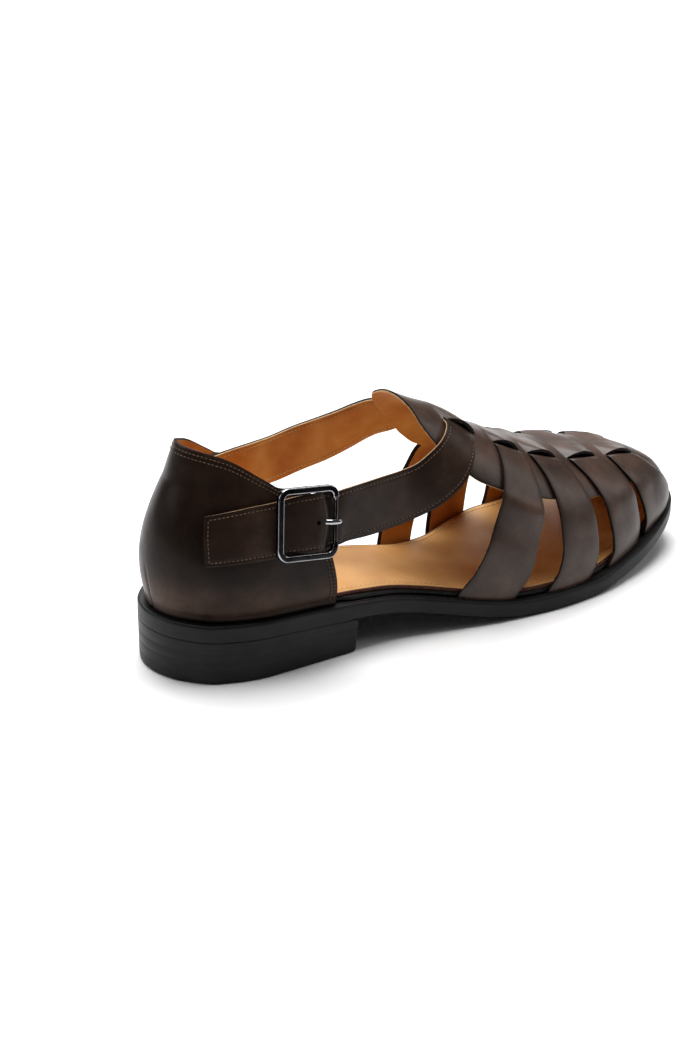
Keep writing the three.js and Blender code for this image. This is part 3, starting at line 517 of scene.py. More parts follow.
def waxed_thread(name, dark, light):
    """Waxed sewing thread: twisted strands that show as a fine change of tone along each stitch."""
    material, place = new_material(name)
    twist = add_node(material, "ShaderNodeTexNoise", {"Vector": place, "Scale": spots(0.8), "Detail": 2})
    tone = add_node(material, "ShaderNodeValToRGB", {"Fac": twist}, stops=((0.3, dark), (0.7, light)))
    thread = add_node(material, "ShaderNodeBsdfPrincipled", {
        "Base Color": tone, "Roughness": 0.6, "Specular IOR Level": 0.25})
    add_node(material, "ShaderNodeOutputMaterial", {"Surface": thread})
    return material


# Each calf: shine, smoothest roughness, and the tone ramp from edge to edge; on straps and tongue it is
# burnishing darker at the edges, on the counter it is painted light
CALF = calf_with_burnish_and_painted_light("burnished brown calf", 0.3, 0.34, (
    (0.0, "#9a9a9a"), (1.0, "#9a9a9a"), (0.12, "#f4f4f4"), (0.88, "#f4f4f4")))
DARK_CALF = calf_with_burnish_and_painted_light("dark burnished strap calf", 0.13, 0.32, (
    (0.0, "#989898"), (1.0, "#989898"), (0.1, "#cacaca"), (0.9, "#cacaca")))
# Up the counter the ramp is painted light: darker at the foot as painted contact shade, light just above as
# a painted floor reflection, darkest across the middle as painted shade, lighter towards the top line as
# painted sheen
COUNTER_CALF_PAINTED_LIGHT = calf_with_burnish_and_painted_light("counter calf with painted reflection and shade", 0.11, 0.28, (
    (0.0, "#8c8c8c"), (1.0, "#c0c0c0"), (0.07, "#f8f8f8"), (0.16, "#e4e4e4"),
    (0.3, "#8c8c8c"), (0.55, "#808080"), (0.82, "#9c9c9c")))
LINING = tan_lining()
SOCK = sock_leather()
# Dark cut edge; also used as painted shade in the band's lining, the buckle fold and the needle holes
DARK_EDGE_AND_PAINTED_SHADE = cut_edge("dyed cut edge and painted shade", 0.12, "#120b08", "#261811")
BROWN_EDGE = cut_edge("brown cut edge", 0.25, "#4a2e1a", "#6b4527")
PALE_EDGE = cut_edge("raw cut edge", 0.25, "#a58360", "#c9a67c")
SOCK_EDGE = cut_edge("dyed insole edge", 0.25, "#2e140b", "#4c2818")
# Near black: the painted shade inside the punched strap hole
PUNCHED_HOLE_SHADE = cut_edge("punched hole in shade", 0.0, "#040202", "#080504")
SOLE_BLACK = black_edge_dye("black edge-dyed sole", 0.9, 0.06)
HEEL_BLACK = black_edge_dye("black stacked heel", 0.7, 0.1)
GUNMETAL = plating("polished gunmetal plating", "#303033", "#3e3e41")
# Brighter plating for the frame's edges and the prong: partly rubbed wear, partly painted highlight
RUBBED_METAL_AND_HIGHLIGHT = plating("gunmetal rubbed bright on its edges and painted highlight", "#9a9a9e", "#b4b4b8")
BROWN_THREAD = waxed_thread("waxed brown thread", "#4f3c2e", "#6f5946")
TAN_THREAD = waxed_thread("waxed tan thread", "#d2ac72", "#e8cc9c")
BLACK_THREAD = waxed_thread("waxed black thread", "#0f0f0f", "#1f1f1f")


# Mesh making: points nearer than these, in metres, are one point of a sheet or of a closed body
SAME_PLACE = 1e-7
CLOSED_SEAM = 2e-6


def flat_grid(columns, rows):
    """A flat sheet one unit square round the origin, to be laid in place."""
    bm = bmesh.new()
    bm.loops.layers.uv.new("UVMap")
    bmesh.ops.create_grid(bm, x_segments=columns, y_segments=rows, size=0.5, calc_uvs=True)
    return bm


def flat_places(bm):
    """Where each point of a flat grid lies, from 0 to 1 along and across."""
    return np.array([v.co[:2] for v in bm.verts]) + 0.5


def lay(bm, points):
    for vert, point in zip(bm.verts, in_frame(points)):
        vert.co = point


def face_out(bm, centre_of):
    """Turns a sheet so that its faces point away from the foot inside it."""
    bm.normal_update()
    facing = 0.0
    for face in bm.faces:
        middle = face.calc_center_median()
        facing += face.normal.dot(middle - centre_of(middle)) * face.calc_area()
    if facing < 0:
        bmesh.ops.reverse_faces(bm, faces=bm.faces[:])


# Lines inside the foot and the heel, in metres, that the leather faces away from
FOOT_AXIS_UP = 0.025
HEEL_AXIS_ALONG = -0.095


def foot_axis(point):
    return Vector((point.x, 0, FOOT_AXIS_UP))


def heel_axis(point):
    return Vector((HEEL_AXIS_ALONG, 0, point.z))


def make_piece(name, bm, materials, slot, *nodes):
    mesh = bpy.data.meshes.new(name)
    for face in bm.faces:
        face.smooth = True
    bm.to_mesh(mesh)
    bm.free()
    piece = bpy.data.objects.new(name, mesh)
    bpy.context.scene.collection.objects.link(piece)
    for material in materials:
        mesh.materials.append(material)
    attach(piece, "root")
    if nodes:
        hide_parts(*nodes)
    return piece


def thicken(piece, thickness):
    """Gives a sheet its leather thickness inwards; its third finish is the cut edge round it."""
    wall = piece.modifiers.new("leather thickness", "SOLIDIFY")
    wall.thickness = thickness * MM
    wall.offset = -1
    wall.use_even_offset = True
    wall.material_offset = 1
    wall.material_offset_rim = 2
    edge = piece.modifiers.new("eased edges", "BEVEL")
    edge.width = EASED_EDGE * MM
    edge.segments = 2
    edge.limit_method = "ANGLE"
    edge.angle_limit = math.radians(50)
    edge.material = 2


def layers(name, thickness, calf, rim):
    """The calf and the lining inside it: name, depth below the outer side, thickness, finishes, slot."""
    shell = thickness - LINING_THICK
    return (
        (name, 0.0, shell - LAYER_GAP, (calf, calf, DARK_EDGE_AND_PAINTED_SHADE), "upper_brown"),
        (name + "_lining", shell, LINING_THICK, (LINING, LINING, rim), "insole_tan"),
    )


def leather_sheet(name, grid, place, thickness, axis=foot_axis, calf=CALF, rim=DARK_EDGE_AND_PAINTED_SHADE, dyed=(0, 0)):
    """A lined sheet of the upper: place(along, across, depth) lies depth mm below its outer side.

    The stretch between the two places given along it takes the finish of the cut edge, as painted shade.
    """
    for layer, depth, thick, materials, slot in layers(name, thickness, calf, rim):
        bm = flat_grid(*grid)
        flat = flat_places(bm)
        for face in bm.faces:
            # Faces in that stretch take the third finish, on the calf the dark cut edge, as painted shade
            face.material_index = 2 if dyed[0] < face.calc_center_median().x + 0.5 < dyed[1] else 0
        lay(bm, place(flat[:, 0], flat[:, 1], depth))
        bmesh.ops.remove_doubles(bm, verts=bm.verts[:], dist=SAME_PLACE)
        face_out(bm, axis)
        thicken(make_piece(layer, bm, materials, slot, "upper"), thick)


def wrapped(name, columns, loop, place, materials, slot, node, finishes=None):
    """A closed body, shut at both ends: loop places run once round its section, each with its finish."""
    bm = flat_grid(columns, loop)
    flat = flat_places(bm)
    for face in bm.faces if finishes else ():
        face.material_index = finishes[int((face.calc_center_median().y + 0.5) * loop)]
    lay(bm, place(flat[:, 0], np.rint(flat[:, 1] * loop).astype(int) % loop))
    bmesh.ops.remove_doubles(bm, verts=bm.verts[:], dist=CLOSED_SEAM)
    bmesh.ops.dissolve_degenerate(bm, dist=SAME_PLACE, edges=bm.edges[:])
    bmesh.ops.recalc_face_normals(bm, faces=bm.faces[:])
    make_piece(name, bm, materials, slot, node)


# Sole: each layer is a loop of (side, inset, height) places at every station along the shoe
def layer_loop(profile, top_splits):
    """The section of a sole layer: up the outer edge, over the top, down the inner edge, back underneath."""
    count = len(profile)
    share_top = [1 - 2 * k / top_splits for k in range(1, top_splits)]
    loop = [(1.0, k) for k in range(count)]
    loop += [(w, count - 1) for w in share_top]
    loop += [(-1.0, k) for k in reversed(range(count))]
    loop += [(-w, 0) for w in share_top]
    return loop


def sole_layer(name, reach, profile, height, materials, slot, node, columns=150, splits=10, shift=None):
    """A layer of the sole from its edge profile of (inset, share of height) rows."""
    loop = layer_loop(profile, splits)
    across = np.array([w for w, _ in loop])
    inset = np.array([profile[k][0] for _, k in loop])
    share = np.array([profile[k][1] for _, k in loop])

    def place(along, around):
        u = reach(along, share[around])
        w = across[around]
        d = shift(u, inset[around], share[around]) if shift else inset[around]
        x, lateral = inset_point(LATERAL, u, d)
        _, medial = inset_point(MEDIAL, u, d)
        y = medial + (lateral - medial) * (w + 1) / 2
        return np.stack([x, y, height(x, w, share[around], y)], -1)

    edge_rows = len(profile) - 1
    edges = [k < edge_rows - 1 or edge_rows + splits <= k < 2 * edge_rows + splits for k in range(len(loop))]
    finishes = [int(edge) for edge in edges] if len(materials) > 1 else None
    wrapped(name, columns, len(loop), place, materials, slot, node, finishes)


def whole_length(along, share):
    return LENGTH * (1 - np.cos(math.pi * along)) / 2


BREAST_ROUND, BREAST_ROUND_TO = 1.6, 0.1


def heel_length(along, share):
    """The breast slopes a little and is rounded at its foot."""
    foot, top = HEEL_BREAST
    rounded = BREAST_ROUND * np.clip(1 - share / BREAST_ROUND_TO, 0, 1) ** 2
    return (foot + (top - foot) * share - rounded) * along ** 2


# Edge profiles of the sole's layers: how far in from the edge, and the share of the height
OUTSOLE_PROFILE = (
    (1.5, 0), (0.8, 0.03), (0.36, 0.09), (0.12, 0.17), (0, 0.28), (0.06, 0.5), (0, 0.74),
    (0.04, 0.86), (0.22, 0.93), (0.6, 0.98), (1.2, 1.0))
HEEL_SEAT_ENDS = (84.0, 97.0)
SQUARE_BELOW, SQUARE_BY = 0.25, 0.94


def outsole_shift(u, inset, share):
    """Over the heel the lower edge is square, so that sole and heel run on in one line."""
    square = (1 - ramp(u, *HEEL_SEAT_ENDS)) * (share < SQUARE_BELOW)
    return inset * (1 - SQUARE_BY * square)


def outsole_height(x, w, share, y):
    return UNDERSIDE["z"](x) + OUTSOLE_EDGE * share


sole_layer("outsole", whole_length, OUTSOLE_PROFILE, outsole_height, (SOLE_BLACK,), "sole_black", "outsole",
           shift=outsole_shift)

# Heel: top piece and lifts, with a hair line between each pair
HEEL_FOOT = ((1.2, 0), (0.65, 0.02), (0.42, 0.05), (0.34, 0.1))
HEEL_TOP = ((0.03, 0.96), (0.04, 0.99), (0.12, 1.0))
HEEL_TAPER = (0.34, 0.3)
HEEL_GROOVES = (0.26, 0.5, 0.74)
GROOVE_DEEP = 0.07
GROOVE_WIDE = 0.012
HEEL_JOINT = 0.12


def heel_profile():
    rows = []
    for share in HEEL_GROOVES:
        taper = HEEL_TAPER[0] - HEEL_TAPER[1] * share
        rows += [(taper, share - GROOVE_WIDE), (taper + GROOVE_DEEP, share), (taper, share + GROOVE_WIDE)]
    return (*HEEL_FOOT, *rows, *HEEL_TOP)


def heel_height(x, w, share, y):
    return (UNDERSIDE["z"](x) - HEEL_JOINT) * share


sole_layer("heel", heel_length, heel_profile(), heel_height, (HEEL_BLACK,), "heel_black", "heel", columns=70)

MIDSOLE_PROFILE = ((0.3, 0), (0, 0.2), (0, 0.75), (0.35, 1.0))
MIDSOLE_EDGE = table(("u", "inset"), ((0, 5.5), (81, 5.5), (89, 3.7), (98, 3.7), (134, 5), (300, 5)))


def midsole_shift(u, inset, share):
    return MIDSOLE_EDGE["inset"](u) + inset


def midsole_height(x, w, share, y):
    return rim_height(x) + FIT_GAP / 2 + MIDSOLE_THICK * share


sole_layer("midsole", whole_length, MIDSOLE_PROFILE, midsole_height, (SOLE_BLACK,), "rand_black", "midsole",
           shift=midsole_shift)

INSOLE_PROFILE = ((0, 0), (0, 0.55), (0.25, 0.85), (0.8, 1.0), (1.6, 1.0))
# Low waves of the slack sock: height, length along and across, middle, reach
SOCK_WAVES = ((0.35, 11, 23, 170, 45), (0.25, 7, -15, 215, 40))
# Its shallow dishes: depth, middle, reach
SOCK_DISHES = ((0.5, 40, 30), (0.6, 215, 35))


def insole_shift(u, inset, share):
    return INSOLE_INSET + inset


def insole_height(x, w, share, y):
    """The sock is slack, with a few low waves across its waist, and dished for the heel and the ball."""
    inside = np.clip(1 - np.abs(w) ** 4, 0, 1)
    waves = sum(high * np.sin(x / long + y / wide) * bump_at(x, middle, reach)
                for high, long, wide, middle, reach in SOCK_WAVES)
    dish = sum(deep * bump_at(x, middle, reach) for deep, middle, reach in SOCK_DISHES)
    return rim_height(x) + MIDSOLE_TOP + INSOLE_THICK * share + (waves - dish) * inside * (share >= 1)


sole_layer("insole", whole_length, INSOLE_PROFILE, insole_height, (SOCK, SOCK_EDGE), "insole_tan", "insole",
           splits=36, shift=insole_shift)


# Upper
def counter_place(along, up, depth):
    s = along * 2 - 1
    side = np.where(s < 0, LATERAL, MEDIAL)
    reach = s * s
    u = reach * (COUNTER_FOOT - (COUNTER_FOOT - COUNTER_TOP) * up ** FRONT_PULL)
    foot = -COUNTER_DROP / COUNTER_HEIGHT
    height = foot + up * (top_line(side, reach * COUNTER_TOP) - foot)
    lift = slack(COUNTER_SLACK, u, height) - dart_deep(side, u, height)
    return on_counter(side, u, height, lift - depth)


# The heel's dart: its top as a share of the height, where it fades, how far it wanders, its trough and slit
DART_TOP, DART_FADES = 0.27, 0.6
DART_LEAN = 2.4
DART_DEEP, DART_REACH = 0.4, 1.1
DART_HALF, DART_ABOVE = 0.3, 0.06


def dart_line(height):
    """How far the dart has wandered to the inner side at a height."""
    return DART_LEAN * np.clip(height / DART_TOP, 0, 1) ** 2


def dart_deep(side, u, height):
    """The short closed dart low on the back of the heel: a soft trough that fades out upwards."""
    y = side * half_width(side, u)
    fade = 1 - ramp(height, DART_FADES * DART_TOP, DART_TOP)
    return DART_DEEP * bump_at(y, dart_line(height), DART_REACH) * fade


# The counter's calf carries painted floor reflection and painted shade up its height
leather_sheet("heel_counter", (190, 56), counter_place, COUNTER_THICK, heel_axis, COUNTER_CALF_PAINTED_LIGHT)


def heel_dart():
    """The dart's slit: a dark sliver in the trough that runs out to a point at its top."""
    bm = flat_grid(24, 2)
    along, across = flat_places(bm).T
    height = along * DART_TOP
    y = dart_line(height) + (2 * across - 1) * DART_HALF * (1 - along ** 3)
    side = np.where(y < 0, LATERAL, MEDIAL)
    near_back = 0.1
    steep = np.where(y < 0, OUTLINE["lateral"](near_back), OUTLINE["medial"](near_back)) / near_back
    u = y * y / steep
    lay(bm, on_counter(side, u, height, DART_ABOVE - dart_deep(side, u, height)))
    face_out(bm, heel_axis)
    make_piece("heel_dart", bm, (DARK_EDGE_AND_PAINTED_SHADE,), "upper_brown")


heel_dart()


def band_lens(x):
    """How far the band is arched over a strap, from 0 at the ends of a slit to 1 at its middle."""
    lens = np.zeros_like(x)
    for rear, front in SLITS:
        t = np.clip((x - rear) / (front - rear), 0, 1)
        lens = np.maximum(lens, np.sin(math.pi * t) ** BAND_ROUND)
    return lens


# The underlay's flat grid: rows on each side of the middle, and the row that the slits run along
UNDERLAY_COLUMNS, UNDERLAY_HALF_ROWS, SLIT_ROW = 214, 34, 13
SLIT_OUT = SLIT_ROW / UNDERLAY_HALF_ROWS
ON_SLIT = 1e-4


def underlay_station(flat_x):
    first, last = UNDERLAY_ENDS
    return first + (flat_x + 0.5) * (last - first)


def cut_slits(bm):
    """Opens the flat underlay along the slits, and tells which points then belong to the band."""
    cuts = []
    for edge in bm.edges:
        on_line = all(abs(abs(v.co.y) * 2 - SLIT_OUT) < ON_SLIT for v in edge.verts)
        middle = sum(underlay_station(v.co.x) for v in edge.verts) / 2
        if on_line and any(rear < middle < front for rear, front in SLITS):
            cuts.append(edge)
    bmesh.ops.split_edges(bm, edges=cuts)
    far = [abs(v.co.y) * 2 for v in bm.verts]
    faces_far = [np.mean([abs(f.calc_center_median().y) * 2 for f in v.link_faces]) for v in bm.verts]
    far, faces_inside = np.array(far), np.array(faces_far) < SLIT_OUT
    return (far < SLIT_OUT - ON_SLIT) | ((far < SLIT_OUT + ON_SLIT) & faces_inside)


def underlay_place(station, w, on_band, depth):
    """Lies depth mm below the underlay's outer side; w is -1 at its outer edge and 1 at its inner edge."""
    outer_x, inner_x = UNDERLAY_EDGE["lateral_x"](station), UNDERLAY_EDGE["medial_x"](station)
    x = outer_x + (inner_x - outer_x) * (1 + w) / 2
    far = np.abs(w)
    edges = UNDERLAY_EDGE["lateral_share"](station), UNDERLAY_EDGE["medial_share"](station)
    edge_share = np.where(w < 0, *edges)
    band_share = SLIT_SHARE * np.minimum(1, edge_share / FULL_TONGUE)
    outer = band_share + (edge_share - band_share) * (far - SLIT_OUT) / (1 - SLIT_OUT)
    share = np.sign(w) * np.where(far < SLIT_OUT, band_share * far / SLIT_OUT, outer)
    lens = band_lens(station)
    on_weave = ramp(station, *WEAVE_STARTS)
    arched = BAND_MIDDLE + (1 - BAND_MIDDLE) * (far / SLIT_OUT) ** 2
    top = np.where(w < 0, *BAND_LIFT)
    band = on_weave * (BRIDGE_LIFT + (top - BRIDGE_LIFT) * lens * arched)
    wing = on_weave * BRIDGE_LIFT * (1 - lens) * (1 - ramp(np.abs(share), SLIT_SHARE, WING_FLAT))
    lift = UNDERLAY_THICK + np.where(on_band, band, wing) + slack(UNDERLAY_SLACK, x, share)
    return on_last(x, share, lift - depth)


def underlay(layer, band_finishes):
    """A layer of tongue, middle band and wings in one sheet, with other finishes on the band."""
    name, depth, thick, finishes, slot = layer
    bm = flat_grid(UNDERLAY_COLUMNS, 2 * UNDERLAY_HALF_ROWS)
    on_band = cut_slits(bm)
    for face in bm.faces:
        middle = face.calc_center_median()
        under_band = underlay_station(middle.x) > BAND_STARTS and abs(middle.y) * 2 < SLIT_OUT
        face.material_index = len(finishes) if under_band else 0
    flat = flat_places(bm)
    lay(bm, underlay_place(underlay_station(flat[:, 0] - 0.5), flat[:, 1] * 2 - 1, on_band, depth))
    face_out(bm, foot_axis)
    thicken(make_piece(name, bm, finishes + band_finishes, slot, "upper"), thick)


# Tongue and wings are lined with tan leather; the lining under the band takes the dark cut-edge colour as
# painted shade where it shows in the slits
calf_layer, lining_layer = layers("tongue_and_band", UNDERLAY_THICK, CALF, PALE_EDGE)
underlay(calf_layer, (CALF, CALF, DARK_EDGE_AND_PAINTED_SHADE))
underlay(lining_layer, (DARK_EDGE_AND_PAINTED_SHADE, DARK_EDGE_AND_PAINTED_SHADE, DARK_EDGE_AND_PAINTED_SHADE))


def strap_lift(far):
    """How far a cross strap stands off the last: under the band, over the wing, then on the foot."""
    out = ramp(far, *STRAP_RISES)
    down = ramp(far, *STRAP_FALLS)
    return STRAP_DIP + (STRAP_OVER_WING - STRAP_DIP) * out - STRAP_OVER_WING * down


def cross_strap(name, lateral, medial):
    outer, inner = table(EDGE_COLUMNS, lateral), table(EDGE_COLUMNS, medial)
    over_toe = name == "toe_strap"

    def place(along, across, depth):
        share = along * 2 - 1
        far = np.abs(share)
        rear = np.where(share < 0, outer["rear"](far), inner["rear"](far))
        front = np.where(share < 0, outer["front"](far), inner["front"](far))
        tuck = STRAP_TUCK * (1 - ramp(far, TUCK_FADES, SLIT_SHARE))
        trim = LINING_TRIM if depth > 0 else 0.0
        x = rear - tuck + trim + (front - rear + 2 * tuck - trim) * across
        lift = strap_lift(far)
        if over_toe:
            over_tab = TOE_TAB_LIFT * ramp(x, *TAB_ALONG) * ramp(far, *TAB_ACROSS)
            lift = TAB_BLEND * np.logaddexp(lift / TAB_BLEND, over_tab / TAB_BLEND)
        crown = STRAP_CROWN * (1 - (2 * across - 1) ** 4)
        soft = slack(STRAP_SLACK, x, far) + strap_break(name, share, across)
        return on_last(x, share, lift + STRAP_THICK - STRAP_CROWN + crown + soft - depth)

    leather_sheet(name, (150, 20), place, STRAP_THICK)


# Soft breaks where a strap bends over the foot: strap, share, reach, height in mm; they slant a little
BREAK_SLANT = 0.05
STRAP_BREAKS = (
    ("instep_strap", -0.60, 0.05, 0.9),
    ("instep_strap", -0.74, 0.07, -0.7),
    ("ball_strap", -0.66, 0.07, 0.25),
    ("vamp_strap", -0.62, 0.08, 0.2),
    ("instep_strap", 0.55, 0.06, 0.6),
    ("ball_strap", 0.62, 0.07, 0.3),
)


def strap_break(name, share, across):
    height = np.zeros_like(share)
    for strap, middle, reach, size in STRAP_BREAKS:
        if strap == name:
            height = height + size * bump_at(share + BREAK_SLANT * (across - 0.5), middle, reach)
    return height


for strap_name, (outer_rows, inner_rows) in CROSS_STRAPS.items():
    cross_strap(strap_name, outer_rows, inner_rows)


def last_height(x, y):
    """Height of the last over a place in plan."""
    ridge_y = LAST["ridge_y"](x)
    side = np.where(y < ridge_y, LATERAL, MEDIAL)
    full = np.where(side < 0, LAST["full_lateral"](x), LAST["full_medial"](x))
    reach = np.maximum(side * (strap_line(side, x) - ridge_y), 1e-6)
    across = np.clip(side * (y - ridge_y) / reach, 0, 1)
    rise = (1 - across ** full) ** (1 / full)
    low = rim_height(x) + LAST_SEAT
    return low + (LAST["ridge_z"](x) - low) * rise


FAN_HALVINGS = 40


def fan_reach(turn):
    """How far a fan line runs before it meets the sole, found by halving."""
    side = np.where(turn < 0, LATERAL, MEDIAL)
    near, far = np.zeros_like(turn), np.full_like(turn, LENGTH)
    for _ in range(FAN_HALVINGS):
        middle = (near + far) / 2
        x = TOE_CENTRE[0] + middle * np.cos(turn)
        y = TOE_CENTRE[1] + middle * np.sin(turn)
        inside = (x < TOE_TIP) & (side * (y - strap_line(side, x)) < 0)
        near, far = np.where(inside, middle, near), np.where(inside, far, middle)
    return near


def toe_surface(turn, down):
    r = fan_reach(turn) * np.sin(down * math.pi / 2)
    x = TOE_CENTRE[0] + r * np.cos(turn)
    y = TOE_CENTRE[1] + r * np.sin(turn)
    return np.stack([x, y, last_height(x, y)], -1)


def toe_tab_place(along, across, depth):
    turn = TOE_FAN * (2 * along - 1)
    down = TOE_RANGE[0] + (TOE_RANGE[1] - TOE_RANGE[0]) * across
    raised = lifted(toe_surface, turn, down, TOE_STEPS, np.full_like(turn, depth - UNDERLAY_THICK))
    raised[..., 2] = np.maximum(raised[..., 2], rim_height(raised[..., 0]) + LOWEST_LEATHER)
    return raised


leather_sheet("toe_tab", (60, 30), toe_tab_place, UNDERLAY_THICK)


# Ankle strap: rows of points on last and counter, joined by a smooth skin
def surface_row(row, side, shares, extra):
    surface, low, high, lifts, *pull = row
    along = low[0] + (high[0] - low[0]) * shares + sum(pull) * (1 - (2 * shares - 1) ** 2)
    up = low[1] + (high[1] - low[1]) * shares
    lift = lifts[0] + (lifts[1] - lifts[0]) * shares + extra
    return on_last(along, up, lift) if surface == "last" else on_counter(side, along, up, lift)


SKIN_COLUMNS = 40


def skin(rows, side):
    """place(along, across, lift) on the strap's outer side, smooth through its rows, and the rows' reach."""
    shares = np.linspace(0, 1, SKIN_COLUMNS + 1)
    flat = np.array([surface_row(row, side, shares, STRAP_THICK) for row in rows])
    raised = np.array([surface_row(row, side, shares, STRAP_THICK + 1) for row in rows])
    steps = np.linalg.norm(np.diff(flat[:, SKIN_COLUMNS // 2], axis=0), axis=1)
    reach = np.concatenate([[0], np.cumsum(steps)])
    knots = reach / reach[-1]

    def evaluate(points, along, across):
        slopes = np.gradient(points, knots, axis=0)
        k = np.clip(np.searchsorted(knots, along, side="right") - 1, 0, len(knots) - 2)
        gap = (knots[k + 1] - knots[k])[:, None]
        t = (along - knots[k])[:, None] / gap
        s = 1 - t
        j = np.clip((across * SKIN_COLUMNS).astype(int), 0, SKIN_COLUMNS - 1)
        f = (across * SKIN_COLUMNS - j)[:, None]

        def curve(column):
            start = points[k, column] * s * s * (1 + 2 * t) + slopes[k, column] * gap * t * s * s
            end = points[k + 1, column] * t * t * (3 - 2 * t) - slopes[k + 1, column] * gap * t * t * s
            return start + end

        return curve(j) * (1 - f) + curve(j + 1) * f

    def place(along, across, lift):
        base = evaluate(flat, along, across)
        return base + (evaluate(raised, along, across) - base) * np.asarray(lift)[..., None]

    return place, reach


STITCH_IN = 2.1
ANKLE_WIDE = 24.6
SEAM_PULL, SEAM_REACH = 0.1, 0.8
EDGE_DROP, EDGE_REACH = 0.12, 0.7


def ankle_relief(across):
    """Lightly pulled in by the seam near each edge."""
    from_edge = np.minimum(across, 1 - across) * ANKLE_WIDE
    seam = SEAM_PULL * bump_at(from_edge, STITCH_IN, SEAM_REACH)
    return SEAM_PULL - seam - EDGE_DROP * bump_at(from_edge, 0, EDGE_REACH)


outer_skin, outer_reach = skin(ANKLE_OUTER, LATERAL)
inner_skin, _ = skin(ANKLE_INNER, MEDIAL)
OUTER_LONG = outer_reach[-1]

# In the buckle the strap folds down before the rod; from the fold to the rod the calf takes the dark
# cut-edge finish as painted shade
FOLD_ROW = 14
PAINTED_SHADE_BEFORE_FOLD = (5.5, 0.2)
FOLD_PAINTED_SHADE = tuple((outer_reach[FOLD_ROW] - before) / OUTER_LONG for before in PAINTED_SHADE_BEFORE_FOLD)


def outer_ankle_place(along, across, depth):
    return outer_skin(along, across, ankle_relief(across) + slack(ANKLE_SLACK, along, across) - depth)


def inner_ankle_place(along, across, depth):
    return inner_skin(along, across, ankle_relief(across) - depth)


# The outer ankle strap carries painted shade from its fold in the buckle to the rod
leather_sheet("ankle_strap_outer", (300, 40), outer_ankle_place, STRAP_THICK, calf=DARK_CALF, rim=PALE_EDGE,
              dyed=FOLD_PAINTED_SHADE)
leather_sheet("ankle_strap_inner", (150, 40), inner_ankle_place, STRAP_THICK, calf=DARK_CALF, rim=PALE_EDGE)


# Stitches: size is long, wide and high in mm
STITCH_PITCH, STITCH_SIZE = 1.95, (1.4, 0.52, 0.5)
WELT_PITCH, WELT_SIZE = 2.4, (1.9, 0.9, 0.7)
SOCK_PITCH, SOCK_SIZE = 2.7, (1.8, 0.6, 0.4)
# Size of the dot at each needle hole, painted shade unless another finish is given
NEEDLE_HOLE = (0.6, 0.6, 0.22)
STITCH_TURN = 0.3


def sew(bm, points, normals, pitch, size, shift=0.5):
    """Lays stitches along a line of points on a surface."""
    reach = np.concatenate([[0], np.cumsum(np.linalg.norm(np.diff(points, axis=0), axis=1))])
    count = max(1, int(reach[-1] / pitch))
    middles = (np.arange(count) + shift) * reach[-1] / count

    def at(values, where):
        return np.stack([np.interp(where, reach, values[:, k]) for k in range(3)], -1)

    centres = in_frame(at(points, middles))
    tangents = at(points, middles + STITCH_TURN) - at(points, middles - STITCH_TURN)
    outs = at(normals, middles)
    for centre, tangent, out in zip(centres, tangents, outs):
        run = Vector(tangent).normalized()
        side = Vector(out).cross(run).normalized()
        up = run.cross(side)
        long, wide, high = (n * MM / 2 for n in size)
        basis = Matrix((side * wide, up * high, run * long)).transposed()
        place = Matrix.Translation(Vector(centre)) @ basis.to_4x4()
        bmesh.ops.create_uvsphere(bm, u_segments=6, v_segments=5, radius=1, matrix=place)


def stitch_piece(name, rows, thread, slot, pitch=STITCH_PITCH, size=STITCH_SIZE, hole=DARK_EDGE_AND_PAINTED_SHADE):
    """Rows of stitches, with a dot between each pair of them at the needle hole; by default the dot takes
    the dark cut-edge colour as painted shade in the hole.
    """
    bm = bmesh.new()
    bm.loops.layers.uv.new("UVMap")
    for points, normals in rows:
        sew(bm, points, normals, pitch, NEEDLE_HOLE, shift=0.0)
    for face in bm.faces:
        face.material_index = 1
    for points, normals in rows:
        sew(bm, points, normals, pitch, size)
    make_piece(name, bm, (thread, hole), slot)


# The counter's double rows: how far below its top line and behind its front edge, and how high they lie
TOP_ROWS, FRONT_ROWS = (1.9, 3.9), (2.0, 4.0)
TOP_ROW_ENDS, FRONT_ROW_ENDS = 0.985, 0.97
TOP_ROW_SPREAD = 1.7
COUNTER_ROW_LIFT = 0.1


def counter_line(side, u, height):
    base = on_counter(side, u, height, np.full_like(u, COUNTER_ROW_LIFT))
    return base, on_counter(side, u, height, np.full_like(u, COUNTER_ROW_LIFT + 1)) - base


def counter_stitches():
    rows = []
    for side in (LATERAL, MEDIAL):
        for drop in TOP_ROWS:
            reach = np.linspace(0, TOP_ROW_ENDS, 160) ** TOP_ROW_SPREAD
            top = top_line(side, reach * COUNTER_TOP)
            height = top - drop / COUNTER_HEIGHT
            up = height / top
            u = reach * (COUNTER_FOOT - (COUNTER_FOOT - COUNTER_TOP) * up ** FRONT_PULL)
            rows.append(counter_line(side, u, height))
        for back in FRONT_ROWS:
            up = np.linspace(0, FRONT_ROW_ENDS, 90)
            u = COUNTER_FOOT - (COUNTER_FOOT - COUNTER_TOP) * up ** FRONT_PULL - back
            height = up * top_line(side, np.full_like(up, COUNTER_TOP))
            rows.append(counter_line(side, u, height))
    stitch_piece("counter_stitches", rows, BROWN_THREAD, "upper_brown")


counter_stitches()


# Where the ankle strap's rows run along it, and how high they lie; the row across its end lies higher
OUTER_ROW_STARTS, INNER_ROW_ENDS = 0.10, (0.2, 0.98)
ANKLE_ROW_LIFT, END_ROW_LIFT = 0.05, 0.3


def skin_line(place, along, across, lift):
    along, across = np.broadcast_arrays(np.asarray(along, float), np.asarray(across, float))
    base = place(along, across, np.full(along.shape, lift))
    return base, place(along, across, np.full(along.shape, lift + 1)) - base


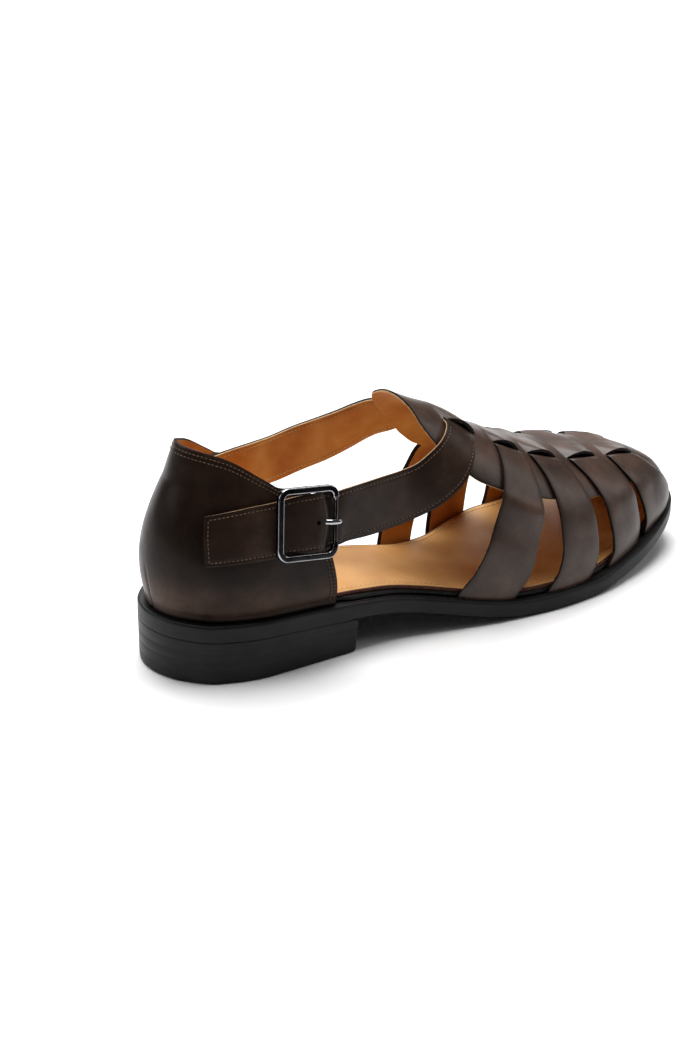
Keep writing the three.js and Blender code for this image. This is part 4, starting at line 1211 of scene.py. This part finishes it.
def ankle_stitches():
    margin = STITCH_IN / ANKLE_WIDE
    end = 1 - STITCH_IN / OUTER_LONG
    run = np.linspace(OUTER_ROW_STARTS, end, 400)
    rows = [skin_line(outer_skin, run, across, ANKLE_ROW_LIFT) for across in (margin, 1 - margin)]
    rows.append(skin_line(outer_skin, end, np.linspace(margin, 1 - margin, 60), END_ROW_LIFT))
    stitch_piece("ankle_stitches_outer", rows, BROWN_THREAD, "upper_brown")
    run = np.linspace(*INNER_ROW_ENDS, 300)
    rows = []
    for across in (margin, 1 - margin):
        points, normals = skin_line(inner_skin, run, across, -STRAP_THICK - ANKLE_ROW_LIFT)
        rows.append((points, -normals))
    stitch_piece("ankle_stitches_lining", rows, TAN_THREAD, "upper_brown", hole=LINING)
    rows = [skin_line(inner_skin, run, across, ANKLE_ROW_LIFT) for across in (margin, 1 - margin)]
    stitch_piece("ankle_stitches_inner", rows, BROWN_THREAD, "upper_brown")


ankle_stitches()


# The rows round the sole: where they start, how far in from the edge, how high above the rim
WELT_ROW = (84, 2.6, 0.1)
SOCK_ROW = (30, INSOLE_INSET + 4.2, MIDSOLE_TOP + INSOLE_THICK + 0.02)


def round_toe(first, inset, lift):
    """A line along the outer side, round the toe and back along the inner side."""
    turn = np.linspace(math.acos(1 - 2 * first / LENGTH), math.pi, 260)
    u = LENGTH * (1 - np.cos(turn)) / 2
    outer_x, outer_y = inset_point(LATERAL, u, inset)
    inner_x, inner_y = inset_point(MEDIAL, u[::-1], inset)
    x, y = np.concatenate([outer_x, inner_x[1:]]), np.concatenate([outer_y, inner_y[1:]])
    return np.stack([x, y, rim_height(x) + lift], -1), np.tile([0.0, 0.0, 1.0], (len(x), 1))


stitch_piece("welt_stitches", (round_toe(*WELT_ROW),), BLACK_THREAD, "sole_black", WELT_PITCH, WELT_SIZE)
stitch_piece("insole_stitches", (round_toe(*SOCK_ROW),), TAN_THREAD, "insole_tan", SOCK_PITCH, SOCK_SIZE,
             hole=SOCK)

# Buckle: x along the strap to the front, y up the strap, z out of the counter, in mm
BUCKLE_WIDTH, BUCKLE_HEIGHT, BUCKLE_CORNER = 32.3, 34.3, 5.5
BUCKLE_RAIL, BUCKLE_ROD, BUCKLE_THICK, BUCKLE_LIFT = 3.1, 2.1, 3.0, 2.9
BUCKLE_EDGE = 0.7
ROD_ENDS = (10.6, 11.2)
RUBBED_AND_HIGHLIT_FROM = 0.1
BUCKLE_SEAT = (61.2, 0.509)
BUCKLE_TILT = math.radians(-3.5)
CENTRE_BAR = (1.1, 2.4)
PRONG_PATH = ((2.8, 2.6), (6.0, 3.6), (9.0, 5.2), (11.5, 6.8), (15.1, 7.3), (16.9, 6.9))
PRONG_HALF_WIDE, PRONG_HALF_HIGH = 1.35, 0.8
PRONG_TAPER, PRONG_BLUNT = (1.05, 0.2), 12


def buckle_axes():
    u, height = (np.array([n]) for n in BUCKLE_SEAT)
    seat = on_counter(LATERAL, u, height, np.zeros(1))[0]
    out = on_counter(LATERAL, u, height, np.ones(1))[0] - seat
    forward = on_counter(LATERAL, u + 1, height, np.zeros(1))[0] - seat
    up = np.cross(out, forward)
    up /= np.linalg.norm(up)
    across = np.cross(up, out)
    turned = across * math.cos(BUCKLE_TILT) + up * math.sin(BUCKLE_TILT)
    risen = up * math.cos(BUCKLE_TILT) - across * math.sin(BUCKLE_TILT)
    return seat, turned, risen, out


SEAT, FORWARD, UPWARD, OUTWARD = buckle_axes()


def at_buckle(x, y, z):
    return SEAT + x[..., None] * FORWARD + y[..., None] * UPWARD + z[..., None] * OUTWARD


def rounded_path(share, half_x, half_y, corner):
    """Place and outward direction on a rounded rectangle, share running once round it."""
    straight_x, straight_y, arc = half_x - corner, half_y - corner, corner * math.pi / 2
    legs = np.array([2 * straight_y, arc, 2 * straight_x, arc, 2 * straight_y, arc, 2 * straight_x, arc])
    ends = np.concatenate([[0], np.cumsum(legs)])
    run = (share % 1.0) * ends[-1]
    leg = np.clip(np.searchsorted(ends, run, side="right") - 1, 0, 7)
    t = (run - ends[leg]) / legs[leg]
    quarter = leg // 2
    turn = quarter * math.pi / 2 + np.where(leg % 2 == 1, t * math.pi / 2, 0)
    out = np.stack([np.cos(turn), np.sin(turn)], -1)
    corners = np.array([(1, 1), (-1, 1), (-1, -1), (1, -1)]) * np.array([straight_x, straight_y])
    centre = corners[quarter]
    before = corners[(quarter - 1) % 4]
    centre = np.where((leg % 2 == 0)[:, None], before + (centre - before) * t[:, None], centre)
    return centre + out * corner, out


def buckle_frame():
    """Flat rails with rounded edges on three sides, and a round rod on the fourth."""
    columns, loop = 180, 48
    half = BUCKLE_RAIL / 2
    middle_line = BUCKLE_WIDTH / 2 - half, BUCKLE_HEIGHT / 2 - half, BUCKLE_CORNER - half
    rod_half = BUCKLE_ROD / 2
    section, _ = rounded_path(np.arange(loop) / loop, half, BUCKLE_THICK / 2, BUCKLE_EDGE)
    angle = np.arctan2(section[:, 1], section[:, 0])
    rod_section = np.stack([np.cos(angle) * rod_half + half - rod_half, np.sin(angle) * rod_half], -1)

    def place(along, around):
        path, out = rounded_path(along, *middle_line)
        rod = ((out[:, 0] > 0.999) * (1 - ramp(np.abs(path[:, 1]), *ROD_ENDS)))[:, None]
        offset = (1 - rod) * section[around] + rod * rod_section[around]
        flat = path + out * offset[:, :1]
        return at_buckle(flat[:, 0], flat[:, 1], offset[:, 1] + BUCKLE_LIFT + BUCKLE_THICK / 2)

    _, out = rounded_path((np.arange(loop) + 0.5) / loop, half, BUCKLE_THICK / 2, BUCKLE_EDGE)
    # The rounded edges of the section take the brighter plating, partly rubbed wear and partly painted
    # highlight
    rubbed = [int(low > RUBBED_AND_HIGHLIT_FROM) for low in np.abs(out).min(axis=1)]
    metals = (GUNMETAL, RUBBED_METAL_AND_HIGHLIGHT)
    wrapped("buckle_frame_polished", columns, loop, place, metals, "buckle_metal", "buckle_frame", rubbed)


buckle_frame()


def buckle_bar():
    """The bar behind the strap that the prong turns on."""
    radius, lift = CENTRE_BAR
    bm = bmesh.new()
    bm.loops.layers.uv.new("UVMap")
    long = BUCKLE_HEIGHT - BUCKLE_RAIL
    bmesh.ops.create_cone(bm, cap_ends=True, segments=20, radius1=radius, radius2=radius, depth=long,
                          calc_uvs=True)
    local = np.array([v.co for v in bm.verts])
    lay(bm, at_buckle(local[:, 0], local[:, 2], local[:, 1] + lift))
    bmesh.ops.recalc_face_normals(bm, faces=bm.faces[:])
    make_piece("buckle_centre_bar", bm, (GUNMETAL,), "buckle_metal", "buckle_frame")


buckle_bar()


def buckle_prong():
    """A flattened pin that tapers to a rounded tip, resting on the rod."""
    columns, loop = 40, 14
    knots = np.linspace(0, 1, len(PRONG_PATH))
    path_x = monotone(knots, [p[0] for p in PRONG_PATH])
    path_z = monotone(knots, [p[1] for p in PRONG_PATH])

    def place(along, around):
        x, z = path_x(along), path_z(along)
        dx, dz = path_x(along + 0.01) - path_x(along - 0.01), path_z(along + 0.01) - path_z(along - 0.01)
        size = np.hypot(dx, dz)
        turn = around / loop * 2 * math.pi
        ends = np.sqrt(np.clip(1 - ((along - 0.5) * 2) ** PRONG_BLUNT, 0, 1))
        taper = ends * (PRONG_TAPER[0] - PRONG_TAPER[1] * along)
        wide, high = PRONG_HALF_WIDE * taper * np.cos(turn), PRONG_HALF_HIGH * taper * np.sin(turn)
        return at_buckle(x - dz / size * high, wide, z + dx / size * high)

    # The prong is all in the brighter plating, partly a painted highlight
    wrapped("buckle_prong_polished", columns, loop, place, (RUBBED_METAL_AND_HIGHLIGHT,), "buckle_metal", "buckle_prong")


buckle_prong()

# Strap hole beside the prong: a shallow disc painted near black as the shade inside the punched hole, with a
# pressed rim
HOLE_ALONG, HOLE_ACROSS, HOLE_RADIUS = 5.0, 0.5, 1.0
HOLE_RIM, HOLE_DEEP, HOLE_LIFT = 0.35, 0.1, 0.27
HOLE_STEP = 0.002
NEAR_BUCKLE = 12.0


def strap_hole():
    alongs = np.linspace(0, 1, 2001)
    middle = outer_skin(alongs, np.full_like(alongs, HOLE_ACROSS), np.zeros_like(alongs))
    local = (middle - SEAT) @ FORWARD
    near = np.abs((middle - SEAT) @ OUTWARD) < NEAR_BUCKLE
    best = alongs[near][np.argmin(np.abs(local[near] - HOLE_ALONG))]
    where, out = skin_line(outer_skin, best, np.array([HOLE_ACROSS]), HOLE_LIFT)
    run = skin_line(outer_skin, best + HOLE_STEP, np.array([HOLE_ACROSS]), HOLE_LIFT)[0] - where
    out, run = Vector(out[0]).normalized(), Vector(run[0]).normalized()
    side = out.cross(run).normalized()
    basis = Matrix((run, side, out)).transposed().to_4x4()
    place = Matrix.Translation(Vector(in_frame(where)[0])) @ basis
    bm = bmesh.new()
    bm.loops.layers.uv.new("UVMap")
    radius = HOLE_RADIUS * MM
    bmesh.ops.create_circle(bm, cap_ends=True, segments=20, radius=radius, matrix=place, calc_uvs=True)
    rim = bmesh.ops.inset_region(bm, faces=bm.faces[:], thickness=HOLE_RIM * MM, depth=-HOLE_DEEP * MM)
    for face in rim["faces"]:
        face.material_index = 1
    make_piece("strap_hole", bm, (PUNCHED_HOLE_SHADE, BROWN_EDGE), "upper_brown")


strap_hole()


# Stage, in metres: a white floor painted dark in front of the shoe as painted shade of the unlit studio,
# broad soft light from above and behind, a dim grey surround
FLOOR_HALF = 6.0
FLOOR_SHADE_ENDS = (-0.50, -0.37)
SURROUND = 0.06
# Lights: name, place, aim, size, watts
LIGHTS = (
    ("overhead", (0.1, 0.35, 1.5), (0, 0, 0), (1.2, 1.2), 40),
    ("back_sheen", (0.5, 1.15, 0.95), (0, 0, 0.05), (1.4, 0.7), 14),
    ("toe_side", (1.3, -0.5, 0.9), (0.05, 0, 0.05), (0.9, 0.9), 5),
    ("heel_side", (-1.3, 0.6, 0.8), (-0.1, 0, 0.05), (0.8, 0.9), 4.6),
)


def stage_floor():
    """White paper near the shoe, painted dark some way in front of it as painted shade of the unlit studio
    that the leather reflects.
    """
    material, place = new_material("white studio floor painted dark in front")
    ahead = add_node(material, "ShaderNodeSeparateXYZ", {"Vector": place}, gives="Y")
    near = add_node(material, "ShaderNodeMapRange", {
        "Value": ahead, "From Min": FLOOR_SHADE_ENDS[0], "From Max": FLOOR_SHADE_ENDS[1]})
    # Dark in front of the shoe as painted shade of the unlit studio, white near it
    white = add_node(material, "ShaderNodeValToRGB", {"Fac": near}, stops=(
        (0.0, "#181818"), (1.0, "#f4f4f4")))
    paper = add_node(material, "ShaderNodeBsdfPrincipled", {"Base Color": white, "Roughness": 0.9})
    add_node(material, "ShaderNodeOutputMaterial", {"Surface": paper})
    bm = bmesh.new()
    bmesh.ops.create_grid(bm, x_segments=1, y_segments=1, size=FLOOR_HALF)
    mesh = bpy.data.meshes.new("studio_floor")
    bm.to_mesh(mesh)
    bm.free()
    mesh.materials.append(material)
    floor = bpy.data.objects.new("studio_floor", mesh)
    bpy.context.scene.collection.objects.link(floor)


def soft_light(name, place, aim, size, watts):
    light = bpy.data.lights.new(name, "AREA")
    light.shape = "RECTANGLE"
    light.size, light.size_y = size
    light.energy = watts
    lamp = bpy.data.objects.new(name, light)
    lamp.location = place
    lamp.rotation_euler = (Vector(aim) - Vector(place)).to_track_quat("-Z", "Y").to_euler()
    bpy.context.scene.collection.objects.link(lamp)


def studio():
    stage_floor()
    for light in LIGHTS:
        soft_light(*light)
    world = bpy.data.worlds.new("studio surround")
    world.use_nodes = True
    background = world.node_tree.nodes["Background"]
    background.inputs["Color"].default_value = linear("#ffffff")
    background.inputs["Strength"].default_value = SURROUND
    bpy.context.scene.world = world
    bpy.context.scene.view_settings.view_transform = "Standard"


studio()

# Camera, fitted to the photograph's view of the sole
FOCAL_PX, FRAME_LONG_PX, SENSOR_MM = 3094.1555, 1050, 36.0
AZIMUTH, ELEVATION, ROLL = (math.radians(n) for n in (-32.95495, 24.54757, 0.26203))
DISTANCE, SHIFT_RIGHT, SHIFT_UP = 1.48914432, -0.03236201, -0.00341
TARGET = Vector((0, 0, 0.040))


def camera():
    back = Vector((math.sin(AZIMUTH) * math.cos(ELEVATION), -math.cos(AZIMUTH) * math.cos(ELEVATION),
                   math.sin(ELEVATION)))
    right = (-back).cross(Vector((0, 0, 1))).normalized()
    up = right.cross(-back)
    rolled_right = right * math.cos(ROLL) + up * math.sin(ROLL)
    rolled_up = up * math.cos(ROLL) - right * math.sin(ROLL)
    eye = TARGET + back * DISTANCE + rolled_right * SHIFT_RIGHT + rolled_up * SHIFT_UP
    data = bpy.data.cameras.new("camera")
    data.sensor_width = SENSOR_MM
    data.lens = FOCAL_PX * SENSOR_MM / FRAME_LONG_PX
    lens = bpy.data.objects.new("camera", data)
    turn = Matrix((rolled_right, rolled_up, back)).transposed()
    lens.matrix_world = Matrix.Translation(eye) @ turn.to_4x4()
    bpy.context.scene.collection.objects.link(lens)
    bpy.context.scene.camera = lens


camera()
